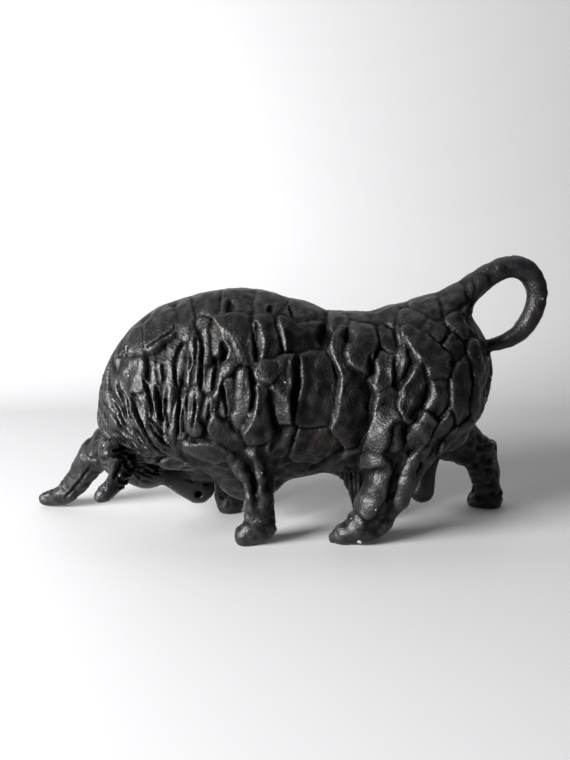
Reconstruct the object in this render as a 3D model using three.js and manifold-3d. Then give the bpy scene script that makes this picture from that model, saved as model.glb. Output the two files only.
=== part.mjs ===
// A charging bull, cast in one piece: head tucked down, horns forward, tail curled into a loop.
// Millimetres, +Z up. The bull faces -X, and its left flank is at -Y.
import * as THREE from "three";
import { mergeVertices } from "three/addons/utils/BufferGeometryUtils.js";
import Module from "manifold-3d";

// Driving dimensions
const LENGTH = 330; // horn tip to the outside of the tail loop
const SURFACE_STEP = 2.0; // grid on which the surface is found
const TRIANGLES = 9600; // what the surface is simplified to
const BELOW = 40; // depth of the block that cuts the feet off at the ground
const BRUSH = 1.8; // the carving is evened out over twice this, because the facets hold nothing finer
const MANE = [[-45, 0, 72], [71.5, 46, 74.5]]; // its egg: centre, then half the length, width and height
const DROP = 4.6; // how far the rim of a slab falls away from its top, at most
const RECESS = -1.8; // where no slab lies
const SWELL = 1.12; // how much wider a slab is than what shows of it
const BULK = 1.3; // how much thicker the slabs are than their named rise
const LEAN = 1.5; // how strongly they lean
const CREVICE = 1.2; // depth of the crevice where two slabs meet
const SEAM = 1.1; // and how soon it closes, as the difference in their heights
const JAW = [-67.3, -33.2, 49.6]; // the place under the jaw where the folds of the mane run together
const FOLD_DEPTH = 1.45; // how much deeper these folds are than their named depth
const FOLD_SPACE = 58; // radius by which their longitudes are turned into millimetres
const FOLD_TWIST = 350; // how much they turn about the jaw as they near it
const FOLD_WAVE = 2.4; // how far they swing from side to side, in degrees
const NOTHING = -9; // lower than any slab
const BAND = 7; // how far from the smooth form the carving is worked out

// Shapes as distance functions: negative inside, in millimetres
const { min, max, abs, sqrt, hypot, sin, cos, exp, PI } = Math;
const clamp = (x, lo, hi) => min(max(x, lo), hi);
const toUnit = (v) => v.map((a) => a / hypot(...v));

// The cone between two balls, each given as [x, y, z, radius].
function bone(a, b) {
  const axis = [b[0] - a[0], b[1] - a[1], b[2] - a[2]];
  const long = axis[0] ** 2 + axis[1] ** 2 + axis[2] ** 2;
  const thin = a[3] - b[3];
  const side = long - thin * thin;
  return (x, y, z) => {
    const px = x - a[0], py = y - a[1], pz = z - a[2];
    const along = px * axis[0] + py * axis[1] + pz * axis[2];
    const past = along - long;
    const ux = px * long - axis[0] * along;
    const uy = py * long - axis[1] * along;
    const uz = pz * long - axis[2] * along;
    const across = ux * ux + uy * uy + uz * uz;
    const a2 = along * along * long;
    const b2 = past * past * long;
    const k = Math.sign(thin) * thin * thin * across;
    if (Math.sign(past) * side * b2 > k) return sqrt(across + b2) / long - b[3];
    if (Math.sign(along) * side * a2 < k) return sqrt(across + a2) / long - a[3];
    return (sqrt((across * side) / long) + along * thin) / long - a[3];
  };
}

// An egg with radii [along, across, up, down], leaned nose down and turned about Z, both in degrees.
function egg([cx, cy, cz], [rx, ry, up, down = up], lean = 0, turn = 0) {
  const cl = cos((lean * PI) / 180), sl = sin((lean * PI) / 180);
  const ct = cos((turn * PI) / 180), st = sin((turn * PI) / 180);
  return (x, y, z) => {
    const dx = x - cx, dy = y - cy, dz = z - cz;
    const tx = dx * ct + dy * st, ty = -dx * st + dy * ct;
    const ex = tx * cl - dz * sl, ez = tx * sl + dz * cl;
    const rz = ez > 0 ? up : down;
    const unit = hypot(ex / rx, ty / ry, ez / rz);
    const steep = hypot(ex / (rx * rx), ty / (ry * ry), ez / (rz * rz));
    return steep > 1e-9 ? (unit * (unit - 1)) / steep : -min(rx, ry, rz);
  };
}

// Joins two distances with a fillet about k wide.
function fillet(a, b, k) {
  const h = max(k - abs(a - b), 0) / k;
  return min(a, b) - h * h * k * 0.25;
}

// The masses of the body, in the order they are joined. soft is the width of the fillet to what came before.
const MASSES = [];
const mass = (soft, shape, centre, reach) => MASSES.push({ soft, shape, centre, reach });
const lump = (soft, centre, radii, lean, turn) =>
  mass(soft, egg(centre, radii, lean, turn), centre, max(...radii));
function limb(soft, ...balls) {
  const cones = balls.slice(1).map((ball, i) => bone(balls[i], ball));
  const centre = [0, 1, 2].map((k) => (max(...balls.map((b) => b[k])) + min(...balls.map((b) => b[k]))) / 2);
  const reach = max(...balls.map((b) => hypot(b[0] - centre[0], b[1] - centre[1], b[2] - centre[2]) + b[3]));
  mass(soft, (x, y, z) => cones.reduce((d, cone) => fillet(d, cone(x, y, z), 2), 1e3), centre, reach);
}

// Balls along a smooth curve through the given ones, so that a horn or a tail bends evenly
function curved(...balls) {
  const out = [];
  for (let i = 0; i + 1 < balls.length; i++) {
    const [p, a, b, q] = [balls[max(i - 1, 0)], balls[i], balls[i + 1], balls[min(i + 2, balls.length - 1)]];
    for (let t = 0; t < 1; t += 1 / 3) {
      const bend = (k) => (b[k] - p[k]) * t + (2 * p[k] - 5 * a[k] + 4 * b[k] - q[k]) * t * t +
        (3 * (a[k] - b[k]) + q[k] - p[k]) * t * t * t;
      out.push([0, 1, 2, 3].map((k) => a[k] + bend(k) / 2));
    }
  }
  return [...out, balls[balls.length - 1]];
}

// Trunk: mane, shoulder hump, barrel, rump, brisket
lump(14, MANE[0], [...MANE[1], 36]);
lump(14, [-20, 0, 95], [46, 47, 53.5, 58]);
lump(14, [35, 0, 88], [75, 45, 48, 52]);
lump(8, [8, 0, 112], [24, 32, 29.5]);
lump(14, [88, 0, 98], [40, 38, 45.5, 50]);
lump(8, [70, 0, 110], [20, 28, 29]);
lump(10, [-22, 0, 46], [27, 24, 30]);
lump(8, [7, 0, 50], [22, 20, 17.5]);

// Near hind leg, striding forward
lump(10, [86, -24, 90], [24, 20, 38], -24);
limb(6, [84, -28, 84, 20], [64, -34, 68, 16.5], [59.5, -37, 53, 10.5], [57.5, -37.5, 40, 8.8],
  [53, -36.5, 26, 8.8], [45, -33.5, 9, 8.8], [35, -32.5, 5, 6.2], [28.6, -31.5, 2.6, 3.2]);
// the muscle behind it, and the strand that runs down to the heel
limb(3, [97, -28, 74, 9], [88, -33, 62, 7.5], [80, -36, 52, 6], [72, -37, 38, 5], [66, -37, 27, 5],
  [57, -35, 14, 6.5], [50, -34, 8, 7]);
limb(1.8, [80, -38, 70, 5.5], [76, -41, 62, 4.6], [73, -42.5, 55, 3.6], [69.8, -42.5, 41, 3.1],
  [66.3, -41.5, 30, 3]);

// Far hind leg, pushing back
lump(10, [96, 22, 84], [26, 20, 38], 20);
limb(8, [100, 26, 72, 22], [110, 33, 51, 17], [131, 38, 38, 11.5], [137, 38, 22, 9.6],
  [140, 38, 5, 9.2], [133.5, 38, 3.4, 7.8]);
// the muscle of its thigh and its two tendons
limb(2.5, [104, 42, 62, 8], [117, 45, 51, 7], [128, 46, 42, 4.5]);
limb(2.5, [141, 42, 40, 5], [143, 43, 28, 4], [144.5, 42, 16, 3.6]);
limb(2.5, [128, 42, 34, 3.4], [132, 43, 24, 3.4], [134, 42, 12, 4]);

// Near foreleg, planted on its toe
lump(10, [-16, -26, 84], [20, 20, 34]);
limb(6, [-16, -31, 66, 14], [-15, -32, 48, 8.5], [-14.5, -33, 34, 7.2], [-14.3, -34, 21, 8],
  [-14, -34.5, 12.5, 8.2]);
limb(3, [-12.8, -34, 10.6, 7.7], [-18, -35, 9, 7.6], [-23.4, -34.5, 4.6, 6.6]);
// its bone behind, its tendon before, a deep hollow between them above the shank, and the boss of the elbow
limb(1.8, [-15.3, -42, 53, 3.4], [-13.8, -43, 43, 2.9], [-12.9, -43, 33, 2.9], [-13.2, -41, 24, 4]);
limb(3, [-12, -36, 56, 5.5], [-11.3, -36.5, 40, 4.6], [-11.3, -36.5, 28, 4.8]);
limb(1.6, [-29, -36, 57, 7], [-26.4, -38.5, 49, 5], [-23.2, -40.5, 43, 3.4], [-21.4, -41.5, 37, 2.8],
  [-20, -42, 31, 3], [-19.2, -40.5, 25, 4], [-19, -38, 17, 5]);
limb(2.5, [-15.6, -38.6, 27, 4.6], [-15.6, -38.4, 17, 5.6]);
lump(1.5, [-18, -42.5, 57.6], [4.8, 4.4, 5], 20);

// Far foreleg
limb(8, [-28, 27, 66, 16], [-39.5, 28, 43, 12], [-38.5, 28, 26, 9.6], [-37, 25.5, 6, 9.2]);

// Head, turned a little to its left, with the muzzle tucked back
lump(6, [-98, 2, 49], [19, 22, 18]);
limb(4, [-99, 3, 46, 18], [-88, 5, 39.5, 16.5], [-77, 8, 37, 11.4], [-56.5, 12, 21.2, 11]);
lump(6, [-52, 4, 39], [13, 13, 12]);

// Ears and brows
limb(3, [-112, 20, 56, 5], [-121, 27, 51, 6], [-128.5, 30, 45.5, 4.6], [-131.5, 31, 41.5, 3.4]);
limb(3, [-99, -16, 56, 6], [-101, -26, 56.5, 6], [-102.5, -34, 55.5, 4]);
lump(2, [-81, -9.5, 40], [6, 3, 4.5], 20, 30);
lump(2, [-98, 19, 38], [6, 3, 4.5], 20, 30);

// Horns
limb(5, ...curved([-108, 14, 47, 12], [-127, 25, 37, 9.8], [-139, 30, 21.5, 8], [-150, 33, 9.8, 6.7],
  [-158.5, 35, 6.2, 4.8], [-164.8, 36, 5.1, 4.1]));
limb(4, ...curved([-97, -16, 46, 8], [-97.4, -30, 42.5, 6.4], [-99.4, -41, 37.5, 5],
  [-106, -46.5, 32.2, 3]));

// Tail
limb(8, [88, 0, 127, 15], [103, 0, 140.5, 10.2], [115, 0, 151.6, 7.8], [123.5, 0, 157.6, 7]);
limb(2, ...curved([122, 0, 156.6, 7], [135.2, 0, 162.8, 6.7], [147.4, 0, 159.6, 6.7], [153.9, 0, 146.6, 6.3],
  [150.2, 0, 131.2, 6.1], [141.5, 0, 120.4, 5.3], [130, 0, 115.6, 4.2], [118, 0, 113, 4.2]));

// Sheath and scrotum
limb(7, [31, 0, 50, 13], [43.5, 0, 37, 10], [49.5, 0, 20, 8], [49.5, 0, 11.5, 6.5]);
limb(6, [92, 2, 52, 9], [89.5, 2, 38, 6.4], [87.2, 2, 21.8, 8]);

// Hollows cut in: nostrils, mouth, eyes, and the cleft at the front of each hoof
const PITS = [];
const PIT_REACH = 30;
const pit = (soft, ...balls) => PITS.push({ soft, shape: bone(...balls), at: balls[0] });
pit(2, [-54.5, 0.5, 18, 1.7], [-56, 5, 19.5, 2.7]);
pit(2, [-48.5, 21, 22, 1.7], [-52, 16, 23, 2.6]);
pit(1, [-46, 5, 24, 0.9], [-68, -3.5, 31, 0.5]);
pit(1, [-86, -12, 37.5, 1.6], [-79, -8, 36, 1.2]);
pit(1, [-100, 22, 36, 1.6], [-92, 21, 34, 1.2]);
for (const [x, y] of [[-29.5, -34.5], [27, -31.5], [127, 38], [-46.5, 25]])
  pit(1.5, [x - 1.5, y, 1, 0.8], [x + 4, y, 12, 0.3]);

// The smooth form, before any carving
function form(x, y, z) {
  let d = 1e3;
  for (const { soft, shape, centre, reach } of MASSES) {
    const away = hypot(x - centre[0], y - centre[1], z - centre[2]) - reach;
    if (away > d + soft) continue;
    // Far from the surface the distance to the mass's ball does.
    const far = away > 40 && d > 40;
    d = far ? min(d, away) : fillet(d, shape(x, y, z), soft);
  }
  if (d > BAND + 1) return d;
  for (const { soft, shape, at } of PITS)
    if (hypot(x - at[0], y - at[1], z - at[2]) < PIT_REACH) d = -fillet(-d, shape(x, y, z), soft);
  return d;
}

// Carving, as heights above the smooth form, seen square to the side
function smooth(lo, hi, v) {
  const t = clamp((v - lo) / (hi - lo), 0, 1);
  return t * t * (3 - 2 * t);
}

// Unevenness of the hand: a smooth random height between -1 and 1, with humps about one unit apart
function chance(i, j, k) {
  let n = Math.imul(i, 374761393) ^ Math.imul(j, 668265263) ^ Math.imul(k, 1274126177);
  n = Math.imul(n ^ (n >>> 13), 1103515245);
  return ((n ^ (n >>> 16)) >>> 0) / 2147483648 - 1;
}
function uneven(x, y, z) {
  const i = Math.floor(x), j = Math.floor(y), k = Math.floor(z);
  const [u, v, w] = [x - i, y - j, z - k].map((t) => t * t * (3 - 2 * t));
  const mix = (a, b, t) => a + (b - a) * t;
  const row = (b, c) => mix(chance(i, j + b, k + c), chance(i + 1, j + b, k + c), u);
  return mix(mix(row(0, 0), row(1, 0), v), mix(row(0, 1), row(1, 1), v), w);
}
// The edges of slabs and cuts wander by up to two millimetres.
const wander = (x, z) => 1.3 * uneven(x / 11, 0, z / 11) + 0.5 * uneven(x / 4, 7, z / 4);

// Slabs of clay, pressed side by side. Each is a spine of [x, z, half width]. It stands rise proud along the
// spine, and its two flanks lean towards +X and +Z. A larger flat makes a flatter top with a tighter edge.
const SLABS = { left: [], right: [] };
function slab(side, rise, leanX, leanZ, flat, ...spine) {
  const cx = spine.reduce((sum, p) => sum + p[0], 0) / spine.length;
  const cz = spine.reduce((sum, p) => sum + p[1], 0) / spine.length;
  const reach = SWELL * max(...spine.map((p) => hypot(p[0] - cx, p[1] - cz) + p[2]));
  SLABS[side].push({ rise, leanX, leanZ, flat, spine, cx, cz, reach });
}
// Each is a rounded dome, and the highest one shows, so neighbours meet in a crevice.
function laid(slabs, x, z, h) {
  const px = x + wander(x, z), pz = z + wander(z, x);
  let under = NOTHING;
  for (const { rise, leanX, leanZ, flat, spine, cx, cz, reach } of slabs) {
    if (hypot(px - cx, pz - cz) > reach) continue;
    let r = 1, ex = 0, ez = 0, wide = 1;
    for (let i = 1; i < spine.length; i++) {
      const [ax, az, aw] = spine[i - 1], [bx, bz, bw] = spine[i];
      const lx = bx - ax, lz = bz - az;
      const t = clamp(((px - ax) * lx + (pz - az) * lz) / (lx * lx + lz * lz), 0, 1);
      const w = (aw + (bw - aw) * t) * SWELL;
      const dx = (px - ax - lx * t) / w, dz = (pz - az - lz * t) / w;
      const away = hypot(dx, dz);
      if (away < r) [r, ex, ez, wide] = [away, dx, dz, w];
    }
    if (r >= 1) continue;
    const fall = min(DROP, wide) * (1 - (1 - r ** flat) ** 0.6);
    const level = BULK * rise - fall + LEAN * (leanX * ex + leanZ * ez) * min(1, wide / 6);
    under = max(under, min(h, level));
    h = max(h, level);
  }
  return h - CREVICE * exp(-(((h - under) / SEAM) ** 2));
}

// Cuts of the knife along short lines, as [x, z] points, with their width and depth
const CUTS = { left: [], right: [] };
const cut = (side, points, wide, deep) => CUTS[side].push({ points, wide, deep });
function incised(cuts, x, z) {
  let h = 0;
  const px = x + wander(x, z) * 0.6, pz = z + wander(z, x) * 0.6;
  for (const { points, wide, deep } of cuts) {
    let best = 1e9, ends = 0;
    for (let i = 1; i < points.length; i++) {
      const [ax, az] = points[i - 1], [bx, bz] = points[i];
      const lx = bx - ax, lz = bz - az;
      const t = clamp(((px - ax) * lx + (pz - az) * lz) / (lx * lx + lz * lz), 0, 1);
      const d = hypot(px - ax - lx * t, pz - az - lz * t);
      if (d < best) [best, ends] = [d, (i - 1 + t) / (points.length - 1)];
    }
    if (best > 3 * wide) continue;
    const fade = 0.35 + 0.65 * sin(PI * ends) ** 0.5;
    h -= deep * fade * exp(-((best / (0.6 * wide)) ** 2));
  }
  return h;
}

// Folds of the mane: grooves that fan out from the jaw over the egg of the mane, as longitudes from a pole
const POLE = toUnit(JAW.map((v, k) => (v - MANE[0][k]) / MANE[1][k]));
const POLE_UP = toUnit([0, 0, 1].map((v, k) => v - POLE[2] * POLE[k]));
const POLE_FORE = [
  POLE[1] * POLE_UP[2] - POLE[2] * POLE_UP[1],
  POLE[2] * POLE_UP[0] - POLE[0] * POLE_UP[2],
  POLE[0] * POLE_UP[1] - POLE[1] * POLE_UP[0],
];
const DEGREES = 180 / PI;
function folded(x, y, z) {
  const q = [x - MANE[0][0], -abs(y) - MANE[0][1], z - MANE[0][2]].map((v, k) => v / MANE[1][k]);
  const size = hypot(...q);
  const near = (q[0] * POLE[0] + q[1] * POLE[1] + q[2] * POLE[2]) / size;
  const rho = Math.acos(clamp(near, -1, 1)) * DEGREES;
  if (rho < 5 || rho > 88) return 0;
  const up = q[0] * POLE_UP[0] + q[1] * POLE_UP[1] + q[2] * POLE_UP[2];
  const fore = q[0] * POLE_FORE[0] + q[1] * POLE_FORE[1] + q[2] * POLE_FORE[2];
  const theta = Math.atan2(fore, up) * DEGREES + FOLD_TWIST / max(rho, 12);
  const mm = (sin(rho / DEGREES) * FOLD_SPACE) / DEGREES;
  let h = 0;
  for (const [i, [at, wide, deep, from, to]] of FOLDS.entries()) {
    const off = (theta - at - FOLD_WAVE * sin(rho / 7 + i * 2.1)) * mm;
    if (abs(off) > 3 * wide) continue;
    const strength = FOLD_DEPTH * (0.75 + 0.6 * uneven(rho / 9, i * 3.7, 5));
    const span = smooth(from, from + 10, rho) * (1 - smooth(to - 12, to, rho));
    h -= deep * strength * span * exp(-((off / wide) ** 2));
  }
  return h * (1 - smooth(1.1, 1.25, size));
}

// Folds: longitude, half width, depth, and the span of latitude from the pole, in degrees and millimetres
const FOLDS = [
  [-25, 1.0, 1.4, 30, 74], [-18, 1.0, 1.8, 22, 70], [-12, 1.0, 1.8, 24, 62], [-5, 1.2, 2.2, 12, 60],
  [0, 0.9, 1.8, 18, 76], [6, 1.1, 2.4, 10, 58], [13, 1.5, 3.4, 12, 64], [20, 1.6, 3.6, 10, 58],
  [27, 1.0, 2.2, 12, 74], [35, 1.3, 3.0, 10, 62], [42, 1.7, 3.6, 14, 64], [49, 1.0, 2.2, 10, 78],
  [56, 1.7, 3.6, 14, 66], [63, 1.0, 2.2, 10, 82], [70, 1.2, 2.4, 16, 84], [78, 1.4, 2.8, 10, 78],
  [85, 1.0, 2.0, 18, 86], [92, 1.2, 2.4, 10, 82], [100, 1.0, 2.0, 14, 86], [109, 1.2, 2.2, 10, 84],
  [119, 1.1, 2.0, 12, 84], [130, 1.2, 2.0, 12, 70],
];

// Crest
slab("left", 1, 0.3, -0.3, 3, [-91, 117, 5.5], [-87, 122, 5.5]);
slab("left", 1.6, 0.3, -0.5, 4, [-78, 124, 6.5], [-70, 131, 7.5]);
slab("left", 1.2, 0.4, -0.3, 3, [-59, 137, 6], [-57, 129, 5]);
slab("left", 0.9, 0.2, 0, 3, [-47, 142, 6.5], [-43, 144, 6.5]);
slab("left", 0.8, -0.4, 0, 3, [-30, 142, 7.5], [-24, 144, 7]);
slab("left", 0.8, -0.5, 0, 3, [-10, 142, 8], [-5, 143, 7.5]);
slab("left", 0.5, -0.4, 0, 3, [8, 137, 9], [16, 136, 7]);
// Brow of the mane
slab("left", 0.7, 0.3, -0.4, 3, [-90, 105, 7], [-87, 97, 4.5]);
// Strands behind the mane
slab("left", 1.4, 0.5, 0, 2, [-53, 125, 2], [-52, 115, 2], [-53, 104, 1.5], [-53, 95, 1.5]);
slab("left", 1.2, 0.5, 0, 2, [-48, 125, 1.5], [-48, 112, 2], [-49, 99, 2]);
slab("left", 1.5, 0.6, 0, 2, [-46, 131, 3], [-44, 121, 2.5], [-43, 110, 2]);
slab("left", 1.3, 0.3, 0, 2.4, [-39, 125, 3], [-39, 118, 3]);
slab("left", 1.4, 0.3, 0, 2.6, [-50, 92, 4], [-51, 82, 4], [-52, 73, 3]);
slab("left", 1.5, 0.6, -0.2, 2, [-31, 123, 2], [-27, 112, 2.5], [-33, 105, 2], [-37, 99, 2], [-38, 91, 2]);
slab("left", -0.2, -0.4, 0, 4, [-40, 105, 3.5], [-41, 96, 4]);
slab("left", 0.6, 0.3, 0, 2.4, [-41, 87, 3], [-46, 79, 2.5]);
slab("left", 0.7, 0.2, 0, 2.4, [-32, 98, 2.5], [-31, 88, 3], [-34, 79, 3]);
// Shoulder
slab("left", 1.6, -0.9, 0, 3, [-28, 129, 8.5], [-22, 116, 6]);
slab("left", 1.9, -0.6, 0, 4, [-13, 130, 6], [-8, 117, 6.5]);
slab("left", 1.4, -0.7, 0.1, 4, [3, 124, 8.5], [14, 123, 9]);
slab("left", 1.7, 0.5, 0, 2.6, [-23, 103, 2], [-22, 93, 3.5], [-24, 82, 4.5], [-26, 76, 4.5]);
slab("left", 1.2, -0.6, 0.3, 2.8, [-36, 74, 6], [-30, 67, 5.5]);
slab("left", 3, -0.7, 0.2, 2.6, [-12, 95, 3], [-11, 84, 4.5], [-14, 76, 7.5], [-17, 73, 6]);
// Fist
slab("left", 3.4, 0.5, -0.2, 2.6, [-9, 105, 6.5], [0, 108, 6.5]);
slab("left", 3.2, 0.4, -0.5, 2.4, [-7, 100, 5.5], [-3, 96, 4.5]);
// Finger
slab("left", 2.6, 0.5, -0.2, 2.4, [-3, 96, 4.5], [-2, 88, 4.5], [1, 80, 4]);
// Elbow
slab("left", 1.3, -0.3, 0.4, 3, [3, 72, 4.5], [-2, 62, 5.5]);
slab("left", 1.5, 0.2, 0.6, 2.4, [-55, 60, 2.5], [-47, 59, 4.5], [-38, 58, 5.5]);
// Rib
slab("left", 1.5, -1, 0, 5, [18, 104, 11], [17, 84, 11.5]);
slab("left", 1, -0.6, 0.4, 4, [13, 63, 10], [21, 60, 10]);
slab("left", 0.7, 0.3, 0, 3, [29, 130, 4.5], [34, 130, 4]);
slab("left", 1.6, -0.7, 0, 2.8, [34, 124, 4], [28, 113, 4], [32, 104, 4.5]);
slab("left", 0.6, -1, 0, 4, [38, 95, 9], [38, 71, 10]);
// Loin
slab("left", 2.4, 0.4, -0.6, 3, [44, 122, 8], [44, 112, 8]);
slab("left", 0.9, -0.6, 0, 3, [57, 123, 5], [59, 118, 5]);
slab("left", 0.6, 0, 0.2, 3, [46, 134, 6], [60, 136, 6]);
// Flank
slab("left", 2.2, 0.4, -0.5, 2.6, [55, 109, 6.5], [54, 100, 6]);
slab("left", 1.4, -0.5, 0, 2.6, [70, 121, 2.5], [67, 110, 4.5], [62, 97, 3]);
// Croup
slab("left", 1.3, 0, 0.3, 2.8, [70, 131, 4], [78, 131, 4]);
slab("left", 1, 0.3, 0, 2, [66, 128, 1.5], [67, 119, 2]);
slab("left", 0.9, -0.3, 0.2, 3, [83, 128, 4.5], [89, 125, 5]);
slab("left", 0.9, -0.4, 0, 3, [93, 120, 5], [96, 113, 4.5]);
slab("left", 1.4, -0.2, 0.2, 2.8, [99, 131, 5.5], [101, 126, 4]);
slab("left", 2.6, -0.8, 0.5, 3, [72, 123, 5], [79, 116, 8], [86, 108, 8]);
// Thigh
slab("left", 3, -0.9, 0.1, 2.4, [77, 105, 4], [74, 94, 7], [69, 83, 5.5]);
slab("left", 3.4, -0.2, -0.1, 2.4, [60, 91, 5], [57, 80, 7.5], [53, 65, 7.5], [51, 51, 5.5]);
slab("left", 1.2, -0.3, 0.3, 2.8, [61, 73, 4.5], [58, 62, 5]);
// Buttock
slab("left", 1.3, -0.5, 0.2, 3, [86, 96, 5.5], [85, 86, 5.5]);
slab("left", 1.5, -0.9, 0, 3.4, [99, 106, 5.5], [99, 92, 7], [97, 82, 5.5]);
slab("left", 0.9, -0.5, 0, 3, [111, 115, 4], [112, 99, 4], [109, 85, 3.5]);
slab("left", 1.6, -0.2, 0.4, 2.4, [102, 74, 3], [94, 66, 3.5], [89, 59, 2.5]);
// Hock
slab("left", 2.2, 0.5, 0, 2.4, [78, 77, 4], [73, 65, 3.5], [71, 57, 3]);
slab("left", 1.6, 0.6, 0, 2.2, [71, 58, 3], [68, 43, 3], [65, 29, 2.5]);
slab("left", 2, -0.4, 0.3, 2.6, [90, 79, 4.5], [86, 68, 5.5], [81, 57, 3.5]);
// Shank
slab("left", 1.8, 0.4, 0, 2.6, [53, 48, 5], [51, 36, 4.5], [47, 25, 4]);
slab("left", 1.4, 0.2, 0, 2.4, [39, 15, 5], [33, 7, 4]);
// Tail root
slab("left", 0.9, 0, -0.3, 3, [84, 138, 6], [88, 141, 5.5]);
slab("left", 1, 0, -0.3, 3, [96, 141, 6], [102, 145, 5.5]);
slab("left", 1.4, 0.3, 0, 2, [104, 135, 2], [108, 143, 2], [111, 150, 2]);
slab("left", 1.2, 0.2, 0, 2, [110, 137, 2], [113, 147, 2], [117, 154, 2]);

cut("left", [[-76, 51], [-69, 50], [-60, 48]], 4, 4); // under the jaw
cut("left", [[-64, 128], [-72, 122], [-79, 116]], 2, 3); // under the crest
cut("left", [[-93, 117], [-95, 110]], 1.5, 2.4); // front notch of the crest
cut("left", [[-30, 143], [-33, 136]], 3, 2.6); // hollow of the crest
cut("left", [[-10, 139], [-8, 136]], 2.5, 2);
cut("left", [[2, 139], [5, 132]], 1, 1.6); // crack of the crest
cut("left", [[-45, 110], [-45, 101], [-46, 92], [-45, 76]], 2, 2.4); // behind the strands
cut("left", [[-34, 119], [-34, 110]], 3.5, 2.6); // the pocket
cut("left", [[-17, 130], [-15, 119], [-16, 108], [-16, 91]], 2.5, 3); // behind the shoulder
cut("left", [[-6, 132], [-1, 115]], 1.5, 2.4);
cut("left", [[5, 112], [6, 98], [3, 77]], 3, 3.4); // behind the fist
cut("left", [[-9, 94], [-5, 85], [-3, 73], [-8, 60]], 4, 3); // before the finger
cut("left", [[23, 129], [21, 118]], 4, 2.4); // end of the shoulder row
cut("left", [[27, 110], [30, 100], [29, 77]], 1.5, 1.6); // edge of the rib
cut("left", [[48, 112], [49, 98]], 2.5, 2.8); // of the loin
cut("left", [[36, 125], [37, 118]], 3.5, 2.2); // behind the loin
cut("left", [[70, 116], [73, 110], [66, 97]], 2.5, 2.6); // before the thigh
cut("left", [[93, 111], [94, 106]], 2.5, 2.2);
cut("left", [[82, 98], [78, 87], [70, 78]], 3, 2.4); // behind the thigh
cut("left", [[66, 75], [70, 67], [71, 57]], 5.5, 3.6); // behind the stifle
cut("left", [[67, 54], [63, 42], [59, 29]], 3, 2.2); // groove of the shank
cut("left", [[16, 42], [30, 54], [47, 61]], 2.5, 1.6); // belly crease
cut("left", [[86, 68], [88, 66]], 3, 2); // pit of the hock

// The right flank: the same hand, a little plainer, without the slabs of the striding leg. Below the ridge
// each slab is moved by up to 4 mm, and those of the rump go back with the leg that pushes.
for (const { rise, leanX, leanZ, flat, spine, cx, cz } of SLABS.left) {
  const onLeg = cz < 82 && cx > 50;
  if (onLeg) continue;
  const shift = cz > 122 ? 0 : 4 * uneven(cx / 9, 3, cz / 9);
  const back = cx > 60 ? 6 : 0;
  const moved = spine.map(([x, z, w]) => [x + shift + back, z - shift / 2, w]);
  slab("right", 0.85 * rise, leanX, leanZ, flat, ...moved);
}
slab("right", 1.8, 0.6, -0.4, 2.8, [84, 96, 9], [98, 76, 11], [104, 66, 9]);
slab("right", 1.4, -0.5, 0, 2.6, [-30, 68, 8], [-37, 38, 6]);
const high = CUTS.left.filter(({ points }) => points[0][1] > 84);
for (const { points, wide, deep } of high) cut("right", points, wide, deep);
cut("right", [[-54, 36], [-46, 28], [-40, 24]], 1.5, 1.4); // between the tendons of the far foreleg

// The whole carving at a point: the bed between the slabs lies lower on the trunk, the carving is weaker
// along the ridge of the back, and it fades out on the inner faces of the legs and at the soles.
function carving(x, y, z) {
  const side = y < 0 ? "left" : "right";
  const skin = 0.6 * uneven(x / 13, y / 13, z / 13) + 0.3 * uneven(x / 5, y / 5, z / 5);
  const bed = RECESS * smooth(-66, -50, x) * smooth(52, 70, z) + folded(x, y, z);
  const h = laid(SLABS[side], x, z, bed) + incised(CUTS[side], x, z) + skin;
  const calm = 0.3 + 0.7 * smooth(3, 16, abs(y));
  return h * max(smooth(52, 64, z) * calm, smooth(5, 12, abs(y))) * smooth(1, 9, z);
}

function body(x, y, z) {
  const d = form(x, y, z);
  if (abs(d) > BAND) return d;
  const along = carving(x - BRUSH, y, z) + carving(x + BRUSH, y, z);
  const above = carving(x, y, z - BRUSH) + carving(x, y, z + BRUSH);
  return d - (along + above + carving(x, y, z)) / 5;
}

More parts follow.
